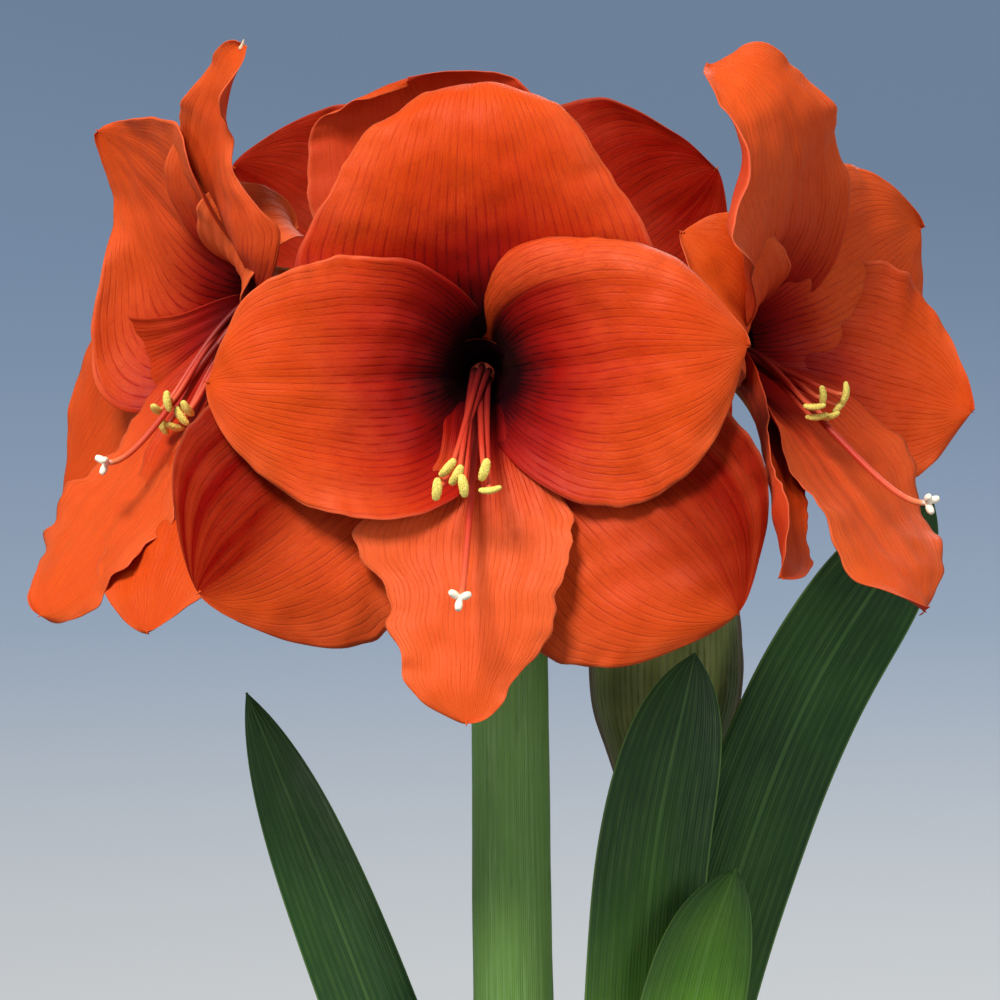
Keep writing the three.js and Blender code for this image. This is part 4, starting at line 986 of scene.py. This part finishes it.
# Blooms. Each is a short tube that opens into six thin velvety tepals, three outer and three inner. They are
# orange-red with fine darker veins, run through crimson to near black in the throat, and are ruffled and
# notched at the margin; the lowest inner one is narrow, paler and ragged.
TUBE = 5.5
TEPAL_ROWS = 84
TEPAL_COLUMNS = 49
# Each tepal's extras may paint light and shade: the shade values darken it where neighbouring blooms and its
# own curl shade it; the fold value paints a lit band with a shadow line at a rolled-back margin; the paler
# values give the lowest tepals their own paler colour, and on the right bloom and the front bloom's lower
# outer tepals they also stand in for light.
BLOOMS = {
    "front": [
        ("outer", 1, 107, (14, 46, 60, 72, 108, 215), (62, 42, 8, -14, -26, -30),
         (0, 32, 51, 53, 47, 40, 34, 26, 14), (0, 32, 50, 52, 46, 38, 32, 25, 14),
         {"wave": 0.8, "bend": -4, "pip": 0.6}),
        ("outer", -128, 111, (14, 50, 74, 78, 92), (62, 48, 6, -18, -24),
         (0, 14, 26, 36, 41, 43, 41, 34, 20), (0, 14, 26, 35, 40, 42, 41, 35, 18),
         {"wave": 1.0, "dusk": (0.0, 0.95, 0.35), "pale": 0.4}),
        ("outer", 132, 112, (14, 50, 72, 76, 88), (62, 48, 6, -16, -24),
         (0, 14, 25, 34, 39, 41, 39, 32, 16), (0, 14, 27, 37, 44, 47, 45, 37, 20),
         {"wave": 1.0, "dusk": (0.95, 0.0, 0.15), "pale": 0.45}),
        ("inner", -93, 97, (12, 34, 58, 82, 132), (76, 56, 12, -6, -14),
         (0, 21, 36, 43, 43, 38, 32, 25, 14), (0, 20, 29, 35, 36, 35, 32, 26, 16),
         {"wave": 1.0, "bend": 4, "roll": ((0, 0, 30, 40, 20, 0, 0), (0, 0)), "rollfrom": 0.3}),
        ("inner", 84, 98, (12, 34, 58, 80, 128), (76, 56, 12, -4, -14),
         (0, 21, 33, 39, 40, 39, 34, 26, 13), (0, 16, 26, 35, 41, 41, 36, 28, 14),
         {"wave": 1.0, "roll": ((0, -70, -95, -100, -70, 0), (0, 0)), "rollfrom": 0.62, "lip": 1.0}),
        ("inner", 181, 116, (14, 43, 67, 72, 84), (42, 20, 4, -6, -10),
         (0, 9, 13, 17, 20, 25, 29, 29, 24, 24, 20, 13, 13),
         (0, 7, 9, 9, 11, 20, 31, 31, 23, 24, 19, 18, 8),
         {"wave": 1.5, "waves": 2.4, "tip": 20, "ragged": 0.055, "pale": 0.8}),
    ],
    "right": [
        ("outer", -16, 116, (14, 44, 62, 76, 112, 195), (62, 42, 14, 4, 10),
         (0, 18, 30, 38, 46, 56, 40, 24, 12), (0, 16, 26, 28, 26, 22, 18, 13, 6),
         {"wave": 2.2, "waves": 4.5, "bend": -26, "roll": ((0, 0, 30, 50, 50, 60, 0), (0, 0)),
          "rollfrom": 0.5,
          "pale": 0.6}),
        ("outer", 104, 83, (14, 42, 54, 56, 60), (62, 48, 10, -8, -14),
         (0, 14, 26, 34, 37, 36, 32, 24, 10), (0, 14, 26, 34, 37, 36, 30, 22, 10),
         {"wave": 2.0, "ragged": 0.03}),
        ("outer", -136, 112, (14, 42, 56, 58, 64), (62, 52, 44, 44, 70),
         (0, 12, 15, 16, 16, 14, 14, 15, 9), (0, 12, 15, 16, 16, 14, 14, 15, 9),
         {"wave": 1.0, "dusk": (0.5, 0.2, 0.0)}),
        ("inner", 58, 84, (14, 42, 70, 84, 90), (60, 46, 12, -4, 0),
         (0, 18, 32, 40, 42, 40, 34, 26, 14), (0, 20, 32, 38, 40, 39, 35, 28, 14),
         {"wave": 1.2, "pale": 0.5}),
        ("inner", -54, 76, (12, 30, 60, 110, 160), (60, 44, 20, 10, 10),
         (0, 12, 20, 24, 26, 26, 22, 17, 8), (0, 12, 15, 17, 17, 16, 14, 12, 6),
         {"wave": 1.2, "pale": 0.3}),
        ("inner", 180, 108, (14, 34, 44, 48, 56), (60, 42, 16, -4, -10),
         (0, 14, 26, 34, 38, 38, 34, 26, 12), (0, 10, 17, 22, 25, 26, 26, 23, 12),
         {"wave": 2.5, "waves": 3, "ragged": 0.03, "pale": 0.7}),
    ],
    "left": [
        ("outer", 24, 95, (14, 54, 82, 92, 112), (62, 48, 30, 30, 40),
         (0, 12, 18, 22, 22, 18, 13, 11, 7), (0, 16, 28, 34, 30, 16, 10, 17, 12),
         {"wave": 1.8, "waves": 3.5, "twist": 10, "bend": 18, "rollfrom": 0.3, "pale": 0.5, "pip": 1.0,
          "roll": ((0, 0), (0, -30, -100, -110, -60, 0, 20))}),
        ("outer", -125, 108, (14, 54, 78, 72, 50), (62, 48, 2, -14, -12),
         (0, 14, 26, 33, 35, 33, 28, 20, 8), (0, 7, 12, 22, 36, 43, 38, 27, 10),
         {"wave": 2.0, "ragged": 0.02, "pale": 0.4, "dusk": (0, 0.3, 0.0)}),
        ("outer", 164, 116, (14, 44, 54, 56, 66), (62, 46, 12, -6, 0),
         (0, 8, 14, 20, 24, 26, 26, 22, 12), (0, 8, 14, 20, 24, 26, 26, 22, 12),
         {"wave": 1.5, "twist": 42, "ragged": 0.03}),
        ("inner", -34, 77, (14, 50, 72, 76, 66), (60, 50, 26, 14, 10),
         (0, 38, 60, 62, 48, 32, 22, 14, 5), (0, 18, 30, 38, 42, 40, 32, 20, 6),
         {"wave": 1.2, "roll": ((0, 20, 50, 40, 0, 0), (0, 0)), "rollfrom": 0.3, "pale": 0.5}),
        ("inner", 48, 60, (12, 30, 80, 160, 250), (60, 46, 30, 24, 20),
         (0, 10, 15, 18, 19, 18, 16, 13, 8), (0, 10, 13, 14, 14, 14, 13, 10, 6),
         {"wave": 1.0, "pale": 1.0}),
        ("inner", 188, 120, (14, 44, 44, 44, 50), (60, 40, 14, -2, -8),
         (0, 8, 14, 20, 24, 25, 25, 25, 16), (0, 8, 14, 20, 24, 27, 29, 29, 20),
         {"wave": 2.5, "waves": 3, "bend": 10, "ragged": 0.09, "pale": 0.5}),
    ],
    "back": [
        ("outer", 14, 114, (14, 42, 60, 76, 110, 200), (62, 42, 8, -10, -16),
         (0, 14, 26, 36, 41, 42, 39, 34, 18), (0, 14, 26, 36, 41, 42, 39, 34, 18),
         {"wave": 1.5, "dusk": (0.0, 0.0, 0.15)}),
        ("outer", -122, 106, (14, 46, 68, 74, 84), (62, 48, 8, -12, -16),
         (0, 14, 26, 35, 39, 40, 38, 31, 14), (0, 14, 26, 35, 39, 40, 38, 31, 14),
         {"wave": 1.5, "dusk": (0.7, 0.7, 0.3)}),
        ("outer", 122, 106, (14, 46, 68, 74, 84), (62, 48, 8, -12, -16),
         (0, 14, 26, 35, 39, 40, 38, 31, 14), (0, 14, 26, 35, 39, 40, 38, 31, 14),
         {"wave": 1.5, "dusk": (0.7, 0.7, 0.3)}),
        ("inner", -54, 112, (12, 44, 70, 84, 110), (60, 46, 14, 0, -8),
         (0, 14, 26, 34, 37, 36, 33, 27, 14), (0, 14, 28, 38, 45, 48, 47, 42, 26),
         {"wave": 1.5, "dusk": (0.7, 0.7, 0.3)}),
        ("inner", 54, 114, (12, 44, 70, 84, 110), (60, 46, 14, 0, -8),
         (0, 14, 28, 38, 44, 46, 44, 38, 22), (0, 14, 26, 34, 37, 36, 33, 27, 14),
         {"wave": 1.5, "dusk": (0.6, 0.6, 0.2)}),
        ("inner", 180, 110, (14, 42, 62, 70, 84), (60, 42, 14, -6, -10),
         (0, 10, 18, 25, 29, 30, 28, 23, 10), (0, 10, 18, 25, 29, 30, 28, 23, 10),
         {"wave": 2.0, "waves": 3, "ragged": 0.04, "pale": 0.9}),
    ],
}


def tepal(ring, turn, length, flare, cup, counter, clock, seed, wave=1.0, waves=2.5, bend=0, twist=0,
          roll=((0, 0), (0, 0)), rollfrom=0.45, tip=12, ragged=0.012, pale=0.0, pip=0.0,
          dusk=(0.0, 0.0, 0.0), lip=0.0, reach=0.0):
    """One tepal in its bloom's frame. The midrib leaves the tube at angle turn and tips away from the axis
    by the angles flare. counter and clock are the breadths at even stations of its two halves, on the sides
    against and along the clock, closed at the tip by sqrt(1 - u^tip). Across it the surface turns by the
    angle cup times v, and beyond rollfrom by the angle roll as well, and is summed outwards from the
    midrib. Ruffles grow with v^2.5, pleats fade from the throat, and seeded crinkles and notches follow
    the margin."""
    u = 1 - (1 - np.linspace(0, 1, TEPAL_ROWS)) ** 1.6
    up = u[:, None]
    v = np.linspace(-1, 1, TEPAL_COLUMNS)[None]
    root = TUBE + (1.7 if ring == "outer" else 0)
    a = math.radians(turn)
    out = np.array([math.sin(a), math.cos(a), 0])
    aside = np.array([math.cos(a), -math.sin(a), 0])
    axis = np.array([0, 0, 1.0])
    theta = np.radians(along(flare, u))[:, None]
    lean = (math.radians(bend) * u ** 1.5)[:, None]
    radial = out * np.cos(lean) + aside * np.sin(lean)
    tangent = axis * np.cos(theta) + radial * np.sin(theta)
    steps = (tangent[1:] + tangent[:-1]) / 2 * (length * np.diff(u))[:, None]
    mid = out * root + np.concatenate([np.zeros((1, 3)), np.cumsum(steps, 0)])
    inward = axis * np.sin(theta) - radial * np.cos(theta)
    across = np.cross(inward, tangent)
    across *= np.sign(across @ aside)[:, None]
    inward, across = swung(inward, across, (math.radians(twist) * u ** 1.3)[:, None])
    throat = 1.17 * root * (1 - u)
    close = np.sqrt(1 - u ** tip)
    left, right = (np.maximum(0.35, np.hypot(throat, along(side, u) * close))[:, None]
                   for side in (counter, clock))
    half = np.where(v < 0, left, right)
    curl = np.where(v < 0, -np.radians(along(roll[0], u))[:, None], np.radians(along(roll[1], u))[:, None])
    edge = np.clip((np.abs(v) - rollfrom) / (1 - rollfrom), 0, 1) ** 1.5
    angle = np.radians(along(cup, u))[:, None] * v + curl * edge
    sums = []
    for part in (np.cos(angle), np.sin(angle)):
        strips = (part[:, 1:] + part[:, :-1]) / 2 * (v[0, 1] - v[0, 0])
        total = np.concatenate([0 * up, np.cumsum(strips, 1)], 1)
        sums.append(total - total[:, TEPAL_COLUMNS // 2][:, None])
    far = np.clip((up - 0.25) / 0.35, 0, 1)
    ruffle = wave * np.abs(v) ** 2.5 * far * np.sin(2 * np.pi * waves * up + 1.3 * np.sign(v))
    long_way = length * up
    broad_way = half * v
    frill = 0.55 * crinkle(long_way, 40 * np.sign(v), 14, 5, seed) * np.abs(v) ** 6 * far
    pleats = 0.4 * np.sin(2 * np.pi * 3.6 * v + seed) * smooth(up, 0.08, 0.3) * (1 - up)
    pucker = 0.38 * crinkle(long_way, broad_way, 34, 9, seed + 100) * smooth(up, 0.15, 0.4)
    rib = -0.7 * np.exp(-(broad_way / 1.7) ** 2) * (1 - up) ** 0.7
    notch = 1 + ragged * crinkle(long_way, 60 * np.sign(v), 26, 5, seed + 200) * np.abs(v) ** 3 * far
    height = half * sums[1] + ruffle + frill + pleats + pucker + rib
    spread = across[:, None] * (half * sums[0] * notch)[..., None]
    middle = mid[:, None] + spread + inward[:, None] * height[..., None]
    thick = (0.32 + 1.0 * (1 - up) * (1 - v ** 2)) * (0.5 + 0.5 * smooth(1 - up, 0, 0.05))
    # Painted shade, from the three values of the shade mark: darker towards one side, towards the other side
    # on a slant, and towards the tip, where neighbouring blooms and the tepal's own curl shade it.
    slant = v + 0.5 * (up - 0.5)
    shadow = dusk[0] * smooth(-v, -0.5, 0.5) + dusk[1] * smooth(slant, -0.3, 0.5)
    shadow = shadow + dusk[2] * smooth(up, 0.6, 0.9)
    # Painted light and shade at a rolled-back margin: a lit band beyond the roll, and a painted shadow just
    # inside it that fades towards the tip.
    painted_lit_band = lip * smooth(-v, rollfrom - 0.02, rollfrom + 0.05)
    shadow = shadow + 0.45 * lip * smooth(-v, rollfrom - 0.5, rollfrom - 0.05) * (1 - smooth(up, 0.4, 0.8))
    # Paler colour, fading towards the tip: on the lowest tepals it is their own colour, and on the right
    # bloom and the front bloom's lower outer tepals it is also painted light that brightens them to look lit.
    pale_and_painted_light_share = pale * (1 - 0.5 * smooth(up, 0.6, 1.0))
    tint = np.random.default_rng(seed).uniform(0, 1)
    marks = {"pale": pale_and_painted_light_share, "lip": painted_lit_band, "glow": reach, "dusk": shadow, "tint": tint}
    beyond = np.linspace(-1.2, 1, 7)[:, None] * (0.8 + 0.7 * pip) * tangent[-1]
    hook = (np.linspace(0, 1, 7)[:, None] ** 2) * 0.7 * inward[-1]
    end = mid[-1] + beyond + hook
    taper = (0.4 + 0.25 * pip) * np.sqrt(np.linspace(1, 0.02, 7))
    point = rod(end, taper, 10, marks={"point": pip, "side": 1.0, "pale": pale})
    point[1][..., 0] = 1.0
    return [blade(middle, thick, u, marks), point]


petal, tree, shader = new_finish("petal", Specular_IOR_Level=0.10, Subsurface_Weight=0.12,
                                 Subsurface_Scale=0.003,
                                 Subsurface_Radius=(1.0, 0.12, 0.03), Sheen_Weight=0.03,
                                 Sheen_Roughness=0.4, Sheen_Tint=(1, 0.4, 0.2, 1))
where = place_of(tree)
length, breadth = lay(tree)
side = mark_of(tree, "side")
pale = mark_of(tree, "pale")
tint = mark_of(tree, "tint")
glow = mark_of(tree, "glow")
dusk = mark_of(tree, "dusk")
lip = mark_of(tree, "lip")
point = mark_of(tree, "point")
off_mid = calc("ABSOLUTE", breadth)
fan = calc("DIVIDE", breadth, plus(1.0, times(length, 0.25)))
seed = times(tint, 30.0)
main = lines_of(length, fan, 19.0, 0.09, 5.0, seed)
fine = lines_of(length, fan, 53.0, 0.05, 2.4, plus(seed, 9.0))
ray = times(main["Lines"], 0.09)
# Lengthwise streaky noise that breaks up the painted shade.
stretched = place_at(times(length, 1.6), times(fan, 9.0), seed)
painted_shade_streaks = noise(stretched, 1.0, 3.0)
reach = plus(length, times(off_mid, 0.10))
reach = less(reach, ray)
reach = plus(reach, times(less(noise(where, 60, 3.0), 0.5), 0.10))
# The paler mark moves the face towards its lighter colours, turns it salmon and weakens the veins below: on
# the lowest tepals their own paler colour, and on the right bloom and the front bloom's lower outer tepals
# painted light as well.
reach = plus(reach, plus(times(pale, 0.08), glow))
face = ramp(reach, [(0.0, (20, 3, 8)), (0.18, (28, 3, 8)), (0.26, (84, 4, 8)), (0.38, (142, 10, 4)),
                          (0.50, (174, 30, 4)), (0.70, (194, 54, 4)), (1.0, (206, 68, 10))])
face = mix(times(mask(where, 34, 0.45), 0.35), face, mix(ease(reach, 0.4, 0.6), face, (222, 92, 22)))
salmon = mix(ease(reach, 0.34, 0.6), face, (226, 98, 46))
face = mix(times(pale, 0.6), face, salmon)
deep = mix(ease(reach, 0.2, 0.45), (22, 3, 7), (136, 16, 8))
vein = calc("MAXIMUM", times(main["Lines"], 0.74), times(fine["Lines"], 0.66))
vein = calc("MAXIMUM", vein, times(main["Net"], 0.34))
fading = less(0.66, times(ease(length, 0.45, 1.0), 0.30))
fading = times(fading, less(1.0, times(pale, 0.45)))
face = mix(times(vein, fading), face, deep)
# The reverse side, a darker red than the face partly as painted shade, with a brown midrib, darker veins and
# lighter patches.
reverse = mix(ease(length, 0.0, 0.7), (136, 48, 20), (186, 48, 14))
reverse = wash(reverse,
               (times(ease(off_mid, 0.16, 0.02), ease(length, 0.95, 0.3)), 1, (132, 92, 52)),
               (vein, 0.5, (140, 20, 10)),
               (mask(where, 40, 0.4), 0.25, (208, 78, 36)))
shade = mix(side, reverse, face)
# Painted light: the lit band of a rolled-back margin takes a bright orange.
shade = mix(times(lip, 0.8), shade, mix(vein, (206, 74, 26), (158, 34, 12)))
# Painted shade: where the shade mark lies, outside the lit band and away from the throat, the face turns dark
# crimson, broken into streaks.
painted_shade_mask = times(less(dusk, lip), ease(length, 0.15, 0.4), clamp=True)
painted_shade_mask = times(painted_shade_mask, less(1.15, times(painted_shade_streaks, 0.5)), clamp=True)
shade = mix(painted_shade_mask, shade, mix(vein, (122, 8, 3), (72, 3, 3)))
# Paler patches along the margins, a painted sheen, held back where the painted shade lies.
margin = times(ease(off_mid, 0.55, 1.0), times(ease(length, 0.35, 0.6), mask(where, 60, 0.5)))
margin = times(margin, less(0.3, times(painted_shade_mask, 0.3)))
shade = mix(margin, shade, (232, 108, 62))
rim = times(ease(off_mid, 0.965, 1.0), 0.16)
shade = wash(shade,
             (times(rim, ease(length, 0.3, 0.5)), 1, (244, 136, 98)),
             (point, 0.9, (238, 214, 180)))
coat(shader, shade, plus(0.44, times(mask(where, 260, 0.5), 0.16)))
# The shine fades towards the throat and in the painted shade.
shine = times(ease(length, 0.04, 0.3), less(0.11, times(painted_shade_mask, 0.10)))
tree.links.new(shine, shader.inputs["Specular IOR Level"])
folds = less(times(noise(where, 1500, 2.0, 0.7), 0.5), times(main["Lines"], 0.55))
relief(shader, folds, 0.6, 0.0004)

BRIGHT_THROATS = {"left": 0.06, "right": 0.06}
TUBE_LINE = [(0, 0), (7.4, 0), (8.6, 5), (10.8, 11), (8.8, 11), (5, 2.5), (0, 2.5)]
for number, (name, tepals) in enumerate(BLOOMS.items()):
    base, azimuth, elevation, _ = BLOOM_SEATS[name]
    axes = bloom_axes(azimuth, elevation)
    radius, height, angle = turned(rounded(TUBE_LINE, 0.5, 3), 48)
    inside = (np.arange(len(radius)) > len(radius) * 0.52)[:, None] * 1.0
    shells = [turned_shell(radius * (1 + 0.03 * np.cos(3 * angle)), height, angle, {"side": inside})]
    shells[0][1][..., 0] = 0
    for k, (*form, extra) in enumerate(tepals):
        shells += tepal(*form, 1000 + 10 * number + k, reach=BRIGHT_THROATS.get(name, 0.0), **extra)
    placed = [(np.array(base) + points @ axes, uv, marks) for points, uv, marks in shells]
    piece(f"bloom_{name}_tepals", placed, petal, "petal", f"bloom_{name}")

# Stamens and style. Six red filaments curve down and forward out of each throat and hook up at the end, each
# with a yellow, two-lobed, mealy anther across its tip. The longer style ends in a cream three-armed stigma.
STAMENS = {
    "front": ([(-10, -32, 58), (-7, -26, 56), (-4.4, -28, 58), (-2.4, -31, 59), (3.5, -26.5, 57),
               (5.2, -32, 58)],
              [(0.1, 1, 0.1), (0.7, 0.8, 0.1), (0.5, 0.9, 0.2), (-0.15, 1, 0.1), (0.3, 1, 0.1),
               (1, 0.15, 0.1)], (-2.5, -62, 75)),
    "left": ([(-1, -32, 47), (1, -27, 49), (5, -25, 47), (4, -30, 43), (7, -28, 42), (1, -33, 44)],
             [(0.3, 1, 0.3), (0.6, 0.5, 0.7), (0.2, 1, 0.1), (-0.3, 1, 0.4), (0.4, 0.8, 0.6),
              (0.2, 0.4, 1)], (5, -39.4, 70)),
    "right": ([(-6, -13, 46), (-10, -16, 46), (-3, -18.7, 47), (-3, -11.7, 52), (1, -15, 48),
               (-7, -19, 45)],
              [(-0.4, 1, 0.2), (0.5, 0.1, 1), (0.1, 0.3, 1), (0, 1, 0.1), (0.3, 0.8, 0.4),
               (0.6, 0.2, 0.9)], (-6, -42.3, 84)),
    "back": ([(-8, -30, 56), (-4, -34, 58), (0, -29, 57), (4, -33, 58), (8, -31, 56), (1, -37, 60)],
             [(0.2, 1, 0.2), (0.7, 0.7, 0.1), (-0.3, 1, 0.2), (0.1, 1, 0.3), (0.6, 0.6, 0.4),
              (1, 0.2, 0.2)], (2, -46, 80)),
}
stamen_finish, tree, shader = new_finish("stamen", Specular_IOR_Level=0.3)
length, breadth = lay(tree)
where = place_of(tree)
pollen = mark_of(tree, "pollen")
cream = mark_of(tree, "cream")
grit, pits = grit_of(where, 2600)
thread = ramp(length, [(0.0, (24, 4, 8)), (0.3, (104, 16, 14)), (0.6, (188, 52, 32)),
                       (0.85, (222, 96, 62)), (1.0, (236, 150, 96))])
thread = mix(times(lines_of(length, breadth, 8.0)["Lines"], 0.3), thread, (150, 26, 20))
meal = mix(ease(grit, 0.3, 0.75), (198, 166, 44), (250, 236, 128))
meal = mix(times(pits, 0.5), meal, (150, 116, 30))
tip_white = mix(mask(where, 900, 0.4), (246, 226, 196), (255, 248, 232))
shade = mix(pollen, thread, meal)
shade = mix(cream, shade, tip_white)
coat(shader, shade, plus(0.45, times(pollen, 0.4)))
relief(shader, times(grit, plus(0.1, pollen)), 0.9, 0.0003)
for name, (anthers, lies, stigma) in STAMENS.items():
    base, azimuth, elevation, _ = BLOOM_SEATS[name]
    axes = bloom_axes(azimuth, elevation)
    t = np.linspace(0, 1, 44)
    disc = np.array([(0, 2.8), (3.2, 2.8), (3.7, 3.4), (3.7, 4.6), (3.2, 5.2), (0, 5.2)], float)
    shells = [turned_shell(*turned(disc, 30))]
    for k, (spot, lie) in enumerate(zip(anthers, lies)):
        a = 2 * np.pi * (k + 0.5) / 6
        root = np.array([2.4 * math.cos(a), 2.4 * math.sin(a), 4])
        tip = np.array(spot, float)
        lie = np.array(lie, float) / np.linalg.norm(lie)
        pull = np.array([spot[0] * 0.8, spot[1] - 3, spot[2] * 0.92])
        path = bezier(root, root * [1, 1, 0] + [0, 0, spot[2] * 0.5], pull, tip, t)
        shells.append(rod(path, 1.05 - 0.4 * t - 0.35 * smooth(t, 0.9, 1), 12))
        w = np.linspace(-1, 1, 26)[:, None]
        bow = np.cross(lie, [1.0, 0.2, -0.3])
        bow /= np.linalg.norm(bow)
        line = tip + 3.35 * w * lie + 0.7 * (w ** 2 - 0.4) * bow
        turn = circle(20)
        plump = (0.2 + 1.0 * (1 - w ** 2) ** 0.42) * (1 + 0.22 * np.cos(2 * turn))
        plump = plump + 0.07 * crinkle(9 * w, 3 * turn, 3, 1, 300 + k)
        shells.append(rod(line, plump, 20, about=np.cross(lie, bow), marks={"pollen": 1.0}))
    stigma = np.array(stigma, float)
    east, north, high = stigma
    t = np.linspace(0, 1, 60)
    path = bezier(np.array([0, 0, 4.0]), np.array([0, -4, high * 0.4]),
                  np.array([east * 0.8, north - 4, high * 0.8]), stigma, t)
    shells.append(rod(path, 1.15 - 0.3 * t, 14, marks={"cream": smooth(t, 0.95, 1.0)}))
    for k in range(3):
        a = 2 * np.pi * k / 3 + 0.4
        arm_way = np.linspace(0, 1, 12)[:, None]
        arm = stigma + arm_way * [3.2 * math.cos(a), 3.2 * math.sin(a), 0.6] + arm_way ** 2 * [0, 0, 1.2]
        swell = 0.75 + 0.42 * np.sin(np.pi * np.linspace(0.1, 1, 12) ** 1.6)
        shells.append(rod(arm, swell, 12, marks={"cream": 1.0}))
    placed = [(np.array(base) + points @ axes, uv, marks) for points, uv, marks in shells]
    piece(f"stamens_{name}_set", placed, stamen_finish, "stamen", f"stamens_{name}")
